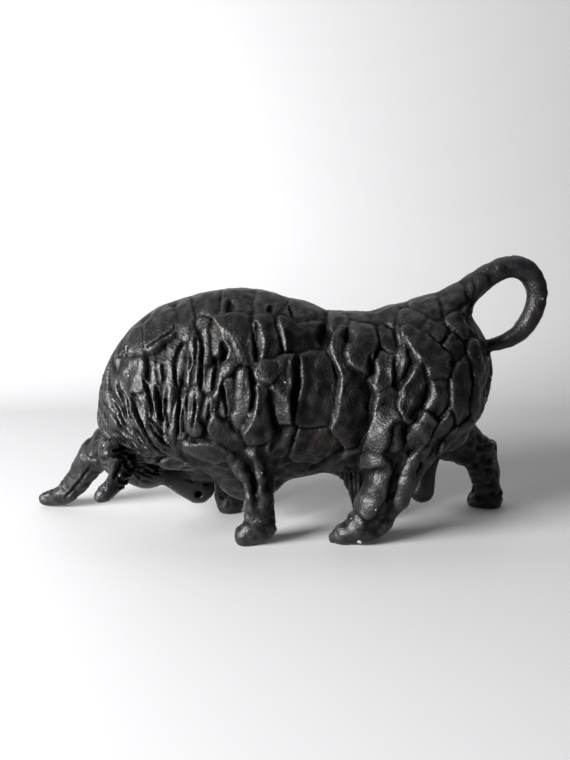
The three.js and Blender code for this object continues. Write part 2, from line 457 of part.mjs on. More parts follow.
// Finds the surface where the distance is nought, by marching over tetrahedra, which always closes.
function surfaceOf(distance, low, high, step) {
  const n = [0, 1, 2].map((k) => Math.ceil((high[k] - low[k]) / step) + 1);
  const jump = [1, n[0], n[0] * n[1]];
  const value = new Float32Array(n[0] * n[1] * n[2]);
  const place = (i) => [
    low[0] + (i % n[0]) * step,
    low[1] + (Math.floor(i / n[0]) % n[1]) * step,
    low[2] + Math.floor(i / jump[2]) * step,
  ];
  for (let i = 0; i < value.length; i++) value[i] = distance(...place(i)) || 1e-6;

  const points = [], faces = [], made = new Map();
  const corner = [0, 1, 2, 3, 4, 5, 6, 7].map(
    (c) => (c & 1) * jump[0] + ((c >> 1) & 1) * jump[1] + ((c >> 2) & 1) * jump[2],
  );
  const crossing = (a, b) => {
    const [i, j] = a < b ? [a, b] : [b, a];
    const key = i * 8 + corner.indexOf(j - i);
    if (!made.has(key)) {
      const t = clamp(value[i] / (value[i] - value[j]), 0.04, 0.96);
      const p = place(i), q = place(j);
      made.set(key, points.length / 3);
      points.push(...p.map((v, k) => v + (q[k] - v) * t));
    }
    return made.get(key);
  };
  const TETRAHEDRA = [[1, 3], [3, 2], [2, 6], [6, 4], [4, 5], [5, 1]];
  for (let z = 0; z < n[2] - 1; z++)
    for (let y = 0; y < n[1] - 1; y++)
      for (let x = 0; x < n[0] - 1; x++) {
        const o = x + y * jump[1] + z * jump[2];
        let inside = 0;
        for (const c of corner) inside += value[o + c] < 0;
        if (inside === 0 || inside === 8) continue;
        for (const [p, q] of TETRAHEDRA) {
          const t = [o, o + corner[p], o + corner[q], o + corner[7]];
          const within = t.filter((i) => value[i] < 0);
          const out = t.filter((i) => value[i] >= 0);
          if (!within.length || !out.length) continue;
          // An even order of the four corners keeps the faces pointing out.
          const order = [...within, ...out].map((i) => t.indexOf(i));
          let odd = 0;
          for (let i = 0; i < 4; i++)
            for (let j = i + 1; j < 4; j++) odd ^= order[i] > order[j];
          const [a, b, c, d] = [...within, ...out];
          const add = (i, j, k) => faces.push(...(odd ? [i, k, j] : [i, j, k]));
          if (within.length === 1) add(crossing(a, b), crossing(a, c), crossing(a, d));
          else if (within.length === 3) add(crossing(a, d), crossing(b, d), crossing(c, d));
          else {
            const ac = crossing(a, c), ad = crossing(a, d), bd = crossing(b, d), bc = crossing(b, c);
            add(ac, ad, bd);
            add(ac, bd, bc);
          }
        }
      }
  return { points, faces };
}

// Folds edges together, cheapest first, until the surface has few enough faces. The cost is the distance
// squared to the planes of the faces that a point has taken over, so flat places get large faces.
function simplified({ points, faces }, target) {
  const at = Float64Array.from(points);
  const count = points.length / 3;
  const around = Array.from({ length: count }, () => new Set());
  const corners = Int32Array.from(faces);
  const planes = new Float64Array(count * 10);
  const alive = new Uint8Array(faces.length / 3).fill(1);
  const age = new Int32Array(count);
  let left = alive.length;

  const normalOf = (f, moved = -1, to = null) => {
    const [a, b, c] = [0, 1, 2].map((k) => {
      const v = corners[f * 3 + k];
      return moved === v ? to : [at[v * 3], at[v * 3 + 1], at[v * 3 + 2]];
    });
    const ux = b[0] - a[0], uy = b[1] - a[1], uz = b[2] - a[2];
    const vx = c[0] - a[0], vy = c[1] - a[1], vz = c[2] - a[2];
    return [uy * vz - uz * vy, uz * vx - ux * vz, ux * vy - uy * vx];
  };
  for (let f = 0; f < alive.length; f++) {
    const n = normalOf(f);
    const area = hypot(...n) || 1e-12;
    const [nx, ny, nz] = n.map((v) => v / area);
    const v0 = corners[f * 3] * 3;
    const off = -(nx * at[v0] + ny * at[v0 + 1] + nz * at[v0 + 2]);
    const terms = [nx * nx, nx * ny, nx * nz, nx * off, ny * ny, ny * nz, ny * off, nz * nz,
      nz * off, off * off];
    for (let k = 0; k < 3; k++) {
      const v = corners[f * 3 + k];
      around[v].add(f);
      for (let t = 0; t < 10; t++) planes[v * 10 + t] += terms[t] * area;
    }
  }

  const cost = (q, x, y, z) =>
    q[0] * x * x + 2 * q[1] * x * y + 2 * q[2] * x * z + 2 * q[3] * x + q[4] * y * y +
    2 * q[5] * y * z + 2 * q[6] * y + q[7] * z * z + 2 * q[8] * z + q[9];
  function best(a, b) {
    const q = new Float64Array(10);
    for (let t = 0; t < 10; t++) q[t] = planes[a * 10 + t] + planes[b * 10 + t];
    const mid = [0, 1, 2].map((k) => (at[a * 3 + k] + at[b * 3 + k]) / 2);
    const long = hypot(...[0, 1, 2].map((k) => at[a * 3 + k] - at[b * 3 + k]));
    const c00 = q[4] * q[7] - q[5] * q[5], c01 = q[2] * q[5] - q[1] * q[7], c02 = q[1] * q[5] - q[2] * q[4];
    const det = q[0] * c00 + q[1] * c01 + q[2] * c02;
    let where = mid;
    if (abs(det) > 1e-6) {
      const c11 = q[0] * q[7] - q[2] * q[2], c12 = q[1] * q[2] - q[0] * q[5], c22 = q[0] * q[4] - q[1] * q[1];
      const free = [
        -(c00 * q[3] + c01 * q[6] + c02 * q[8]) / det,
        -(c01 * q[3] + c11 * q[6] + c12 * q[8]) / det,
        -(c02 * q[3] + c12 * q[6] + c22 * q[8]) / det,
      ];
      if (hypot(...free.map((v, k) => v - mid[k])) < long) where = free;
    }
    return { where, price: max(cost(q, ...where), 0) + 1e-4 * long * long };
  }

  // A heap of edges, cheapest on top
  const heap = [];
  const push = (a, b) => {
    const item = { a, b, age: age[a] + age[b], ...best(a, b) };
    let i = heap.push(item) - 1;
    while (i > 0) {
      const up = (i - 1) >> 1;
      if (heap[up].price <= item.price) break;
      heap[i] = heap[up];
      i = up;
    }
    heap[i] = item;
  };
  const pop = () => {
    const top = heap[0], item = heap.pop();
    if (!heap.length) return top;
    let i = 0;
    for (;;) {
      let down = 2 * i + 1;
      if (down >= heap.length) break;
      if (down + 1 < heap.length && heap[down + 1].price < heap[down].price) down++;
      if (heap[down].price >= item.price) break;
      heap[i] = heap[down];
      i = down;
    }
    heap[i] = item;
    return top;
  };
  const beside = (v) => {
    const out = new Set();
    for (const f of around[v])
      for (let k = 0; k < 3; k++) out.add(corners[f * 3 + k]);
    out.delete(v);
    return out;
  };
  for (let v = 0; v < count; v++) for (const w of beside(v)) if (v < w) push(v, w);

  while (left > target && heap.length) {
    const { a, b, where, age: then } = pop();
    if (!around[a].size || !around[b].size || then !== age[a] + age[b]) continue;
    const nextA = beside(a), nextB = beside(b);
    if (!nextA.has(b)) continue;
    let shared = 0;
    for (const v of nextA) shared += nextB.has(v);
    if (shared !== 2) continue;
    let turns = false;
    for (const v of [a, b]) {
      for (const f of around[v]) {
        if (turns || around[v === a ? b : a].has(f)) continue;
        const n = normalOf(f), m = normalOf(f, v, where);
        const dot = n[0] * m[0] + n[1] * m[1] + n[2] * m[2];
        turns = dot < 0.3 * hypot(...n) * hypot(...m) || hypot(...m) < 1e-3;
      }
    }
    if (turns) continue;
    for (const f of [...around[b]]) {
      if (around[a].has(f)) {
        alive[f] = 0;
        left--;
        for (let k = 0; k < 3; k++) around[corners[f * 3 + k]].delete(f);
      } else {
        for (let k = 0; k < 3; k++) if (corners[f * 3 + k] === b) corners[f * 3 + k] = a;
        around[a].add(f);
      }
    }
    around[b].clear();
    for (let k = 0; k < 3; k++) at[a * 3 + k] = where[k];
    for (let t = 0; t < 10; t++) planes[a * 10 + t] += planes[b * 10 + t];
    age[a]++;
    for (const v of beside(a)) push(a, v);
  }

  const renamed = new Map(), out = { points: [], faces: [] };
  for (let f = 0; f < alive.length; f++) {
    if (!alive[f]) continue;
    for (let k = 0; k < 3; k++) {
      const v = corners[f * 3 + k];
      if (!renamed.has(v)) {
        renamed.set(v, renamed.size);
        out.points.push(at[v * 3], at[v * 3 + 1], at[v * 3 + 2]);
      }
      out.faces.push(renamed.get(v));
    }
  }
  return out;
}

// A box of points and faces only, so that its corners can be shared
function plainBox(x, y, z) {
  const box = new THREE.BoxGeometry(x, y, z);
  box.deleteAttribute("normal");
  box.deleteAttribute("uv");
  return box;
}

const wasm = await Module();
wasm.setup();
const solidOf = (points, faces) => new wasm.Manifold(
  new wasm.Mesh({ numProp: 3, vertProperties: Float32Array.from(points), triVerts: Uint32Array.from(faces) }),
);

// The casting, cut off flat where the feet meet the ground
const REACH = { low: [-176, -72, -7], high: [170, 62, 178] };
const skin = simplified(surfaceOf(body, REACH.low, REACH.high, SURFACE_STEP), TRIANGLES);
const casting = solidOf(skin.points, skin.faces);
const block = mergeVertices(plainBox(2 * LENGTH, LENGTH, BELOW).translate(0, 0, -BELOW / 2));
const ground = solidOf(block.attributes.position.array, block.index.array);
const cutCasting = casting.subtract(ground).getMesh();

const geometry = new THREE.BufferGeometry();
geometry.setAttribute("position", new THREE.BufferAttribute(Float32Array.from(cutCasting.vertProperties), 3));
geometry.setIndex(Array.from(cutCasting.triVerts));
geometry.computeBoundingBox();
const middle = geometry.boundingBox.getCenter(new THREE.Vector3());
geometry.translate(-middle.x, -middle.y, 0);

const iron = new THREE.MeshStandardMaterial({ color: 0x1b1b1c, roughness: 0.6, metalness: 0.1 });
const bull = new THREE.Mesh(geometry, iron);
bull.name = "bull";
const group = new THREE.Group();
group.add(bull);
export default group;
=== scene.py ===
# %% [markdown]
# # A cast iron bull
# A small bull that was modelled in clay by pressing slabs side by side, then cast in iron and painted
# black. The CAD frame already holds its masses, its outline and its larger slabs as one solid. This lesson
# makes the same bull again with the finer work of the hand, as one mesh that stands in the same place.
#
# First the frame is loaded, and its box is kept, because the finished mesh has to fit it.

# %% The frame
import bpy
import math
import numpy as np
import openvdb
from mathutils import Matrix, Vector


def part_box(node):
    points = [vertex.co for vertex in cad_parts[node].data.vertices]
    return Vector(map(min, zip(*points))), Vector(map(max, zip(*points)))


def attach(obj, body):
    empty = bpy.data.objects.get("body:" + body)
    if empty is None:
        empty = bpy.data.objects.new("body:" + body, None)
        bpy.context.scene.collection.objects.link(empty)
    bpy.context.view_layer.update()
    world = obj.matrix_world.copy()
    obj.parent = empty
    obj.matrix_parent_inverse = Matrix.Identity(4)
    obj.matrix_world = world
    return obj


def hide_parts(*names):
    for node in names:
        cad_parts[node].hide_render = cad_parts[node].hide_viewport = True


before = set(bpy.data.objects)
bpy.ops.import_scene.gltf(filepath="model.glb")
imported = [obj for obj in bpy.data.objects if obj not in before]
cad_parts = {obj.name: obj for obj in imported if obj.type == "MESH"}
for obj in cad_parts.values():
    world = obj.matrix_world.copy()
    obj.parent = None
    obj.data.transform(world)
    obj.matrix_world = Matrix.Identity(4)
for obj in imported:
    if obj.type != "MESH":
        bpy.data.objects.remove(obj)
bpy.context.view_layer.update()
low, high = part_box("bull")
print("frame box", [round(v, 4) for v in low], [round(v, 4) for v in high])

# %% [markdown]
# ## Masses
# A sculptor starts from masses: an egg for the mane, one for the barrel, a chain of tapering bones for each
# leg. They could be modelled as separate meshes and joined with booleans, but then every joint has a hard
# seam. Here each mass is a distance function, negative inside, and a smooth minimum joins them, so each
# joint gets a fillet of a chosen width, as clay pushed into a corner does. All of it is in millimetres, and
# every function takes arrays of points.

# %% Distance functions
FAR = 1e3  # further off than anything here, in millimetres
TINY = 1e-9  # keeps a division from having nought below it


def smooth(lo, hi, v):
    """Goes from 0 at lo to 1 at hi, without a corner."""
    t = np.clip((v - lo) / (hi - lo), 0, 1)
    return t * t * (3 - 2 * t)


def bone(p, a, b):
    """Distance from the points p to the cone between two balls, each [x, y, z, radius]."""
    a, b = np.array(a, float), np.array(b, float)
    axis = b[:3] - a[:3]
    long = axis @ axis
    thin = a[3] - b[3]
    side = long - thin * thin
    q = p - a[:3]
    along = q @ axis
    past = along - long
    across = ((q * long - along[:, None] * axis) ** 2).sum(1)
    a2, b2 = along**2 * long, past**2 * long
    k = np.sign(thin) * thin * thin * across
    cone = (np.sqrt(across * side / long) + along * thin) / long - a[3]
    near_a = np.sqrt(across + a2) / long - a[3]
    near_b = np.sqrt(across + b2) / long - b[3]
    d = np.where(np.sign(along) * side * a2 < k, near_a, cone)
    return np.where(np.sign(past) * side * b2 > k, near_b, d)


def egg(p, centre, radii, lean=0, turn=0):
    """Distance to an egg with radii [along, across, up, down], leaned nose down and turned about Z."""
    lean, turn = math.radians(lean), math.radians(turn)
    rx, ry, up = radii[:3]
    down = radii[-1]
    dx, dy, dz = (p - np.array(centre, float)).T
    tx = dx * math.cos(turn) + dy * math.sin(turn)
    ty = -dx * math.sin(turn) + dy * math.cos(turn)
    ex = tx * math.cos(lean) - dz * math.sin(lean)
    ez = tx * math.sin(lean) + dz * math.cos(lean)
    rz = np.where(ez > 0, up, down)
    unit = np.sqrt((ex / rx) ** 2 + (ty / ry) ** 2 + (ez / rz) ** 2)
    steep = np.sqrt((ex / rx**2) ** 2 + (ty / ry**2) ** 2 + (ez / rz**2) ** 2)
    return np.where(steep > TINY, unit * (unit - 1) / np.maximum(steep, TINY), -min(radii))


def fillet(a, b, wide):
    """The smaller of two distances, with a fillet where they are close."""
    h = np.maximum(wide - np.abs(a - b), 0) / wide
    return np.minimum(a, b) - h * h * wide * 0.25


# %% A list of masses, in the order they are joined
MASSES = []
BONE_FILLET = 2  # width of the fillet between two bones of one limb


def lump(soft, centre, radii, lean=0, turn=0):
    """Adds an egg. soft is the width of the fillet that joins it to the masses before it."""
    shape = lambda p: egg(p, centre, radii, lean, turn)
    MASSES.append((soft, shape, np.array(centre, float), max(radii)))


def limb(soft, *balls):
    """Adds a chain of bones through the balls."""
    at = np.array(balls, float)
    centre = (at[:, :3].max(0) + at[:, :3].min(0)) / 2
    reach = max(np.linalg.norm(at[:, :3] - centre, axis=1) + at[:, 3])

    def shape(p):
        """Distance to the chain, with a fillet where two bones meet."""
        d = np.full(len(p), FAR)
        for a, b in zip(balls, balls[1:]):
            d = fillet(d, bone(p, a, b), BONE_FILLET)
        return d

    MASSES.append((soft, shape, centre, reach))


def curved(*balls):
    """More balls on a smooth curve through the given ones, so that a horn bends evenly."""
    at = [np.array(b, float) for b in balls]
    out = []
    for i in range(len(at) - 1):
        p, a, b, q = at[max(i - 1, 0)], at[i], at[i + 1], at[min(i + 2, len(at) - 1)]
        for t in (0, 1 / 3, 2 / 3):
            bend = (b - p) * t + (2 * p - 5 * a + 4 * b - q) * t**2 + (3 * (a - b) + q - p) * t**3
            out.append(list(a + bend / 2))
    return [*out, list(at[-1])]


# %% [markdown]
# The masses carry the sizes of the real bull: its charge forward, the high crest, the tail curled into a
# ring. The bull faces -X, and the flank that is seen most is at -Y.

# %% The masses of the bull
MANE = [[-45, 0, 72], [71.5, 46, 74.5]]  # centre, then half its length, width and height
# Trunk: mane, shoulder hump, barrel, rump, brisket
lump(14, MANE[0], [*MANE[1], 36])
lump(14, [-20, 0, 95], [46, 47, 53.5, 58])
lump(14, [35, 0, 88], [75, 45, 48, 52])
lump(8, [8, 0, 112], [24, 32, 29.5])
lump(14, [88, 0, 98], [40, 38, 45.5, 50])
lump(8, [70, 0, 110], [20, 28, 29])
lump(10, [-22, 0, 46], [27, 24, 30])
lump(8, [7, 0, 50], [22, 20, 17.5])

# Near hind leg, striding forward
lump(10, [86, -24, 90], [24, 20, 38], -24)
limb(6, [84, -28, 84, 20], [64, -34, 68, 16.5], [59.5, -37, 53, 10.5], [57.5, -37.5, 40, 8.8],
     [53, -36.5, 26, 8.8], [45, -33.5, 9, 8.8], [35, -32.5, 5, 6.2], [28.6, -31.5, 2.6, 3.2])
# the muscle behind it, and the strand that runs down to the heel
limb(3, [97, -28, 74, 9], [88, -33, 62, 7.5], [80, -36, 52, 6], [72, -37, 38, 5], [66, -37, 27, 5],
     [57, -35, 14, 6.5], [50, -34, 8, 7])
limb(1.8, [80, -38, 70, 5.5], [76, -41, 62, 4.6], [73, -42.5, 55, 3.6], [69.8, -42.5, 41, 3.1],
     [66.3, -41.5, 30, 3])

# Far hind leg, pushing back
lump(10, [96, 22, 84], [26, 20, 38], 20)
limb(8, [100, 26, 72, 22], [110, 33, 51, 17], [131, 38, 38, 11.5], [137, 38, 22, 9.6],
     [140, 38, 5, 9.2], [133.5, 38, 3.4, 7.8])
# the muscle of its thigh and its two tendons
limb(2.5, [104, 42, 62, 8], [117, 45, 51, 7], [128, 46, 42, 4.5])
limb(2.5, [141, 42, 40, 5], [143, 43, 28, 4], [144.5, 42, 16, 3.6])
limb(2.5, [128, 42, 34, 3.4], [132, 43, 24, 3.4], [134, 42, 12, 4])

# Near foreleg, planted on its toe
lump(10, [-16, -26, 84], [20, 20, 34])
limb(6, [-16, -31, 66, 14], [-15, -32, 48, 8.5], [-14.5, -33, 34, 7.2], [-14.3, -34, 21, 8],
     [-14, -34.5, 12.5, 8.2])
limb(3, [-12.8, -34, 10.6, 7.7], [-18, -35, 9, 7.6], [-23.4, -34.5, 4.6, 6.6])
# its bone behind, its tendon before, a deep hollow between them above the shank, and the boss of the elbow
limb(1.8, [-15.3, -42, 53, 3.4], [-13.8, -43, 43, 2.9], [-12.9, -43, 33, 2.9], [-13.2, -41, 24, 4])
limb(3, [-12, -36, 56, 5.5], [-11.3, -36.5, 40, 4.6], [-11.3, -36.5, 28, 4.8])
limb(1.6, [-29, -36, 57, 7], [-26.4, -38.5, 49, 5], [-23.2, -40.5, 43, 3.4], [-21.4, -41.5, 37, 2.8],
     [-20, -42, 31, 3], [-19.2, -40.5, 25, 4], [-19, -38, 17, 5])
limb(2.5, [-15.6, -38.6, 27, 4.6], [-15.6, -38.4, 17, 5.6])
lump(1.5, [-18, -42.5, 57.6], [4.8, 4.4, 5], 20)

# Far foreleg
limb(8, [-28, 27, 66, 16], [-39.5, 28, 43, 12], [-38.5, 28, 26, 9.6], [-37, 25.5, 6, 9.2])

# Head, turned a little to its left, with the muzzle tucked back
lump(6, [-98, 2, 49], [19, 22, 18])
limb(4, [-99, 3, 46, 18], [-88, 5, 39.5, 16.5], [-77, 8, 37, 11.4], [-56.5, 12, 21.2, 11])
lump(6, [-52, 4, 39], [13, 13, 12])

# Ears and brows
limb(3, [-112, 20, 56, 5], [-121, 27, 51, 6], [-128.5, 30, 45.5, 4.6], [-131.5, 31, 41.5, 3.4])
limb(3, [-99, -16, 56, 6], [-101, -26, 56.5, 6], [-102.5, -34, 55.5, 4])
lump(2, [-81, -9.5, 40], [6, 3, 4.5], 20, 30)
lump(2, [-98, 19, 38], [6, 3, 4.5], 20, 30)

# Horns
limb(5, *curved([-108, 14, 47, 12], [-127, 25, 37, 9.8], [-139, 30, 21.5, 8], [-150, 33, 9.8, 6.7],
     [-158.5, 35, 6.2, 4.8], [-164.8, 36, 5.1, 4.1]))
limb(4, *curved([-97, -16, 46, 8], [-97.4, -30, 42.5, 6.4], [-99.4, -41, 37.5, 5],
     [-106, -46.5, 32.2, 3]))

# Tail
limb(8, [88, 0, 127, 15], [103, 0, 140.5, 10.2], [115, 0, 151.6, 7.8], [123.5, 0, 157.6, 7])
limb(2, *curved([122, 0, 156.6, 7], [135.2, 0, 162.8, 6.7], [147.4, 0, 159.6, 6.7], [153.9, 0, 146.6, 6.3],
     [150.2, 0, 131.2, 6.1], [141.5, 0, 120.4, 5.3], [130, 0, 115.6, 4.2], [118, 0, 113, 4.2]))

# Sheath and scrotum
limb(7, [31, 0, 50, 13], [43.5, 0, 37, 10], [49.5, 0, 20, 8], [49.5, 0, 11.5, 6.5])
limb(6, [92, 2, 52, 9], [89.5, 2, 38, 6.4], [87.2, 2, 21.8, 8])

# %% [markdown]
# The sculptor pushes the nostrils, the mouth and the eyes in with a pointed stick. A boolean would do that
# to a mesh, but leaves sharp rims. A bone that is taken out of the distance leaves a rim as soft as in clay.

# %% Hollows that are cut in
PITS = []
PIT_REACH = 30  # how far from its first ball a hollow can reach
PIT_NEAR = 9  # how far outside the form a hollow still changes the distance


def pit(soft, a, b):
    """Takes the bone from a to b out of the form, with a rim rounded by soft."""
    PITS.append((soft, a, b))


# Nostrils, mouth, eyes
pit(2, [-54.5, 0.5, 18, 1.7], [-56, 5, 19.5, 2.7])
pit(2, [-48.5, 21, 22, 1.7], [-52, 16, 23, 2.6])
pit(1, [-46, 5, 24, 0.9], [-68, -3.5, 31, 0.5])
pit(1, [-86, -12, 37.5, 1.6], [-79, -8, 36, 1.2])
pit(1, [-100, 22, 36, 1.6], [-92, 21, 34, 1.2])
# The cleft at the front of each hoof
for x, y in [[-29.5, -34.5], [27, -31.5], [127, 38], [-46.5, 25]]:
    pit(1.5, [x - 1.5, y, 1, 0.8], [x + 4, y, 12, 0.3])
print(len(MASSES), "masses and", len(PITS), "hollows")

# %% [markdown]
# ## From distance to skin
# The zero level of the distance is the surface. A grid fine enough for this bull has 14 million points, so
# the distance is first found on a coarse grid, and then only in the blocks that the surface can reach. The
# volume library that comes with Blender lays a closed surface through that grid. Metaballs or a voxel remesh
# of joined parts would also give one closed skin, but neither gives every joint its own fillet.

# %% The distance at points
def form(p):
    """Distance to the whole smooth bull."""
    d = np.full(len(p), FAR)
    for soft, shape, centre, reach in MASSES:
        away = np.linalg.norm(p - centre, axis=1) - reach
        near = np.flatnonzero(away <= d + soft)
        d[near] = fillet(d[near], shape(p[near]), soft)
    for soft, a, b in PITS:
        near = np.flatnonzero((np.linalg.norm(p - np.array(a[:3]), axis=1) < PIT_REACH) & (d < PIT_NEAR))
        d[near] = -fillet(-d[near], bone(p[near], a, b), soft)
    return d


# %% The grid
STEP = 0.85  # spacing of the grid
BLOCK = 4  # fine steps in a coarse one
BAND = 1.3  # a block nearer to the surface than this, in coarse steps, is worked out finely
GRID_LOW = np.array([-176.0, -72.0, -9.0])
GRID_HIGH = np.array([170.0, 62.0, 178.0])


def skin_of(distance):
    """Points and quads of the surface where the distance is nought."""
    coarse = STEP * BLOCK
    n = np.ceil((GRID_HIGH - GRID_LOW) / coarse).astype(int)
    cells = np.stack(np.meshgrid(*[np.arange(k) for k in n], indexing="ij"), -1).reshape(-1, 3)
    middle = GRID_LOW + (cells + 0.5) * coarse
    rough = distance(middle)
    field = np.repeat(rough.reshape(n), BLOCK, 0).repeat(BLOCK, 1).repeat(BLOCK, 2).astype(np.float32)
    kept = cells[np.abs(rough) < coarse * BAND]
    inner = np.stack(np.meshgrid(*[np.arange(BLOCK)] * 3, indexing="ij"), -1).reshape(1, -1, 3)
    index = (kept[:, None, :] * BLOCK + inner).reshape(-1, 3)
    field[tuple(index.T)] = distance(GRID_LOW + index * STEP)
    print("grid", field.shape, "of which", len(index), "points were worked out")
    grid = openvdb.FloatGrid(background=float(coarse))
    grid.copyFromArray(field)
    points, _, quads = grid.convertToPolygons(isovalue=0.0, adaptivity=0.0)[:3]
    return GRID_LOW + np.asarray(points, float) * STEP, np.asarray(quads)


points, quads = skin_of(form)
print("skin", len(points), "points", len(quads), "quads")

# %% [markdown]
# ## Carving
# The flanks of the real bull are not smooth: they are slabs of clay, laid side by side and pressed on, and
# the mane is cut with a tool. Strokes of Blender's sculpt brushes can't be repeated from a script, and a
# displacement picture would be a second file. So the carving is worked out as a height above the smooth
# skin, seen square to the flank. Each slab is a low dome along a short spine, and a point of the skin
# belongs to the slab whose rim it lies deepest inside. At the border the height steps from one slab to the
# next, with a crack in places. A little unevenness keeps any edge from running straight. It comes from a
# lattice of fixed chance values, so each run gives the same bull.

# %% Unevenness of the hand
def chance(i, j, k):
    """A fixed chance value between -1 and 1 for each lattice corner."""
    word = 0xFFFFFFFF
    n = ((i * 374761393) & word) ^ ((j * 668265263) & word) ^ ((k * 1274126177) & word)
    n = ((n ^ (n >> 13)) * 1103515245) & word
    return (n ^ (n >> 16)) / 2147483648 - 1


def uneven(x, y, z):
    """A smooth chance height between -1 and 1, with humps about one unit apart."""
    at = np.stack(np.broadcast_arrays(x, y, z)).astype(float)
    base = np.floor(at)
    i, j, k = base.astype(np.int64)
    u, v, w = (at - base) ** 2 * (3 - 2 * (at - base))
    row = lambda b, c: (1 - u) * chance(i, j + b, k + c) + u * chance(i + 1, j + b, k + c)
    return (1 - w) * ((1 - v) * row(0, 0) + v * row(1, 0)) + w * ((1 - v) * row(0, 1) + v * row(1, 1))


# How far the edge of a slab strays, over what length, both in millimetres, and where in the lattice
STRAYS = [(1.3, 11, 0), (0.5, 4, 7)]


def wander(x, z):
    """How far the edge of a slab strays, in millimetres."""
    return sum(far * uneven(x / long, layer, z / long) for far, long, layer in STRAYS)


# %% Slabs of clay
SWELL = 1.25  # how much wider a slab is than what shows of it
MARGIN = 4  # how far past its rim a slab is still looked at
BULK = 1.6  # how many millimetres a rise of 1 is
LEAN = 2.1  # how much higher a lean of 1 makes the edge on that side
NARROW = 6  # a slab with less than this half width leans less
TIP_X, TIP_Z = 0.11, 0.09  # how much a slab may be tipped by chance, in millimetres for each millimetre
DOME, DOME_END = 0.6, 1.3  # how much lower a slab is at its rim than on its spine, and where that ends
CLIFF, LOOSE = 0.9, 0.9  # half the width of the step between two slabs, and the share that chance changes
ROUND, RIM = 0.55, 2.6  # how far the rim of a slab is rounded down, and over what width
CREVICE, CREVICE_WIDE = 1.1, 0.5  # depth and half width of the crack between two slabs
CRACKED, CRACK_CHANCE = 0.15, 2.0  # the share of that depth everywhere, and what chance adds or takes
CREST, CREST_HEALED = (118, 132), 0.7  # heights over which the cracks fade, and by how much
FREE = (0.5, 3.0)  # how far outside every slab the bare bed begins and is reached
STEP_LONG, RIM_LONG, CRACK_LONG = 8, 9, 11  # over what length chance changes the step, the rim and the crack
DEEPEST = 9  # points further inside their slab than this are all alike
MOST_OFF = 9.0  # no point counts as further off a spine than this, in half widths
SLABS = {"left": [], "right": []}


def slab(side, rise, lean_x, lean_z, *spine):
    """Adds a slab along a spine of [x, z, half width]. Positive leans raise its rear and upper edges."""
    SLABS[side].append((rise, lean_x, lean_z, np.array(spine, float)))


def beside_spine(px, pz, spine):
    """How far off the spine each point is, in half widths, in which direction, and the half width there."""
    off, wide = np.full(len(px), MOST_OFF), np.ones(len(px))
    ex, ez = np.zeros(len(px)), np.zeros(len(px))
    for (ax, az, aw), (bx, bz, bw) in zip(spine, spine[1:]):
        lx, lz = bx - ax, bz - az
        t = np.clip(((px - ax) * lx + (pz - az) * lz) / (lx * lx + lz * lz), 0, 1)
        w = (aw + (bw - aw) * t) * SWELL
        dx, dz = (px - ax - lx * t) / w, (pz - az - lz * t) / w
        away = np.hypot(dx, dz)
        closer = away < off
        off, ex, ez, wide = (np.where(closer, new, old) for new, old in
                             ((away, off), (dx, ex), (dz, ez), (w, wide)))
    return off, ex, ez, wide


def laid(slabs, px, pz, bed):
    """Height of the slab that owns each point, with a step and a crack where it meets the next one."""
    first, second = np.full(len(px), FAR), np.full(len(px), FAR)
    top, next_top = bed.copy(), bed.copy()
    for number, (rise, lean_x, lean_z, spine) in enumerate(slabs):
        middle = spine[:, :2].mean(0)
        reach = SWELL * max(np.hypot(*(spine[:, :2] - middle).T) + spine[:, 2]) + MARGIN
        near = np.flatnonzero(np.hypot(px - middle[0], pz - middle[1]) < reach)
        off, ex, ez, wide = beside_spine(px[near], pz[near], spine)
        past = (off - 1) * wide
        tip_x, tip_z = TIP_X * chance(number, 3, 1), TIP_Z * chance(number, 5, 2)
        tip = tip_x * (px[near] - middle[0]) + tip_z * (pz[near] - middle[1])
        level = BULK * rise + LEAN * (lean_x * ex + lean_z * ez) * np.minimum(1, wide / NARROW) + tip
        level -= DOME * np.minimum(off, DOME_END) ** 2
        owner, runner = past < first[near], past < second[near]
        next_top[near] = np.where(owner, top[near], np.where(runner, level, next_top[near]))
        second[near] = np.where(owner, first[near], np.where(runner, past, second[near]))
        top[near] = np.where(owner, level, top[near])
        first[near] = np.where(owner, past, first[near])
    inward = np.minimum((second - first) / 2, DEEPEST)
    loose = 1 + LOOSE * uneven(px / STEP_LONG, 4, pz / STEP_LONG)
    h = (top + next_top) / 2 + (top - next_top) / 2 * smooth(0, CLIFF * loose, inward)
    h -= ROUND * (1 - smooth(0, RIM, inward)) ** 2 * (1 + uneven(px / RIM_LONG, 2, pz / RIM_LONG))
    crack = CREVICE * (CRACKED + CRACK_CHANCE * uneven(px / CRACK_LONG, 9, pz / CRACK_LONG))
    crack *= 1 - CREST_HEALED * smooth(*CREST, pz)
    h -= np.maximum(crack, 0) * np.exp(-((inward / CREVICE_WIDE) ** 2))
    free = smooth(*FREE, first)
    return h * (1 - free) + bed * free


# %% Facets left by fingers and tools
FACET = 9.0  # from one facet to the next
FACET_CHANCE = 0.4  # how far chance moves the middle of a facet, as a share of that


def facets(p):
    """The squared distance to the nearest middle of a facet: shallow dishes that meet at low ridges."""
    at = p / FACET
    base = np.floor(at).astype(np.int64)
    nearest = np.full(len(p), FAR)
    for i in (-1, 0, 1):
        for j in (-1, 0, 1):
            for k in (-1, 0, 1):
                cell = (base + [i, j, k]).T
                seed = [0.5 + FACET_CHANCE * chance(cell[0], cell[1] + 31 * n, cell[2]) for n in range(3)]
                gap = sum((cell[n] + seed[n] - at[:, n]) ** 2 for n in range(3))
                nearest = np.minimum(nearest, gap)
    return nearest


# %% [markdown]
# The hair of the mane runs together under the jaw and fans out from there. On the real bull these are
# grooves drawn with a comb or a wire. Each could be drawn as a curve, but they follow one rule: seen on the
# egg of the mane they are longitudes about a pole under the jaw, evenly spaced, and swung a little by
# chance. So a loop makes all of them.

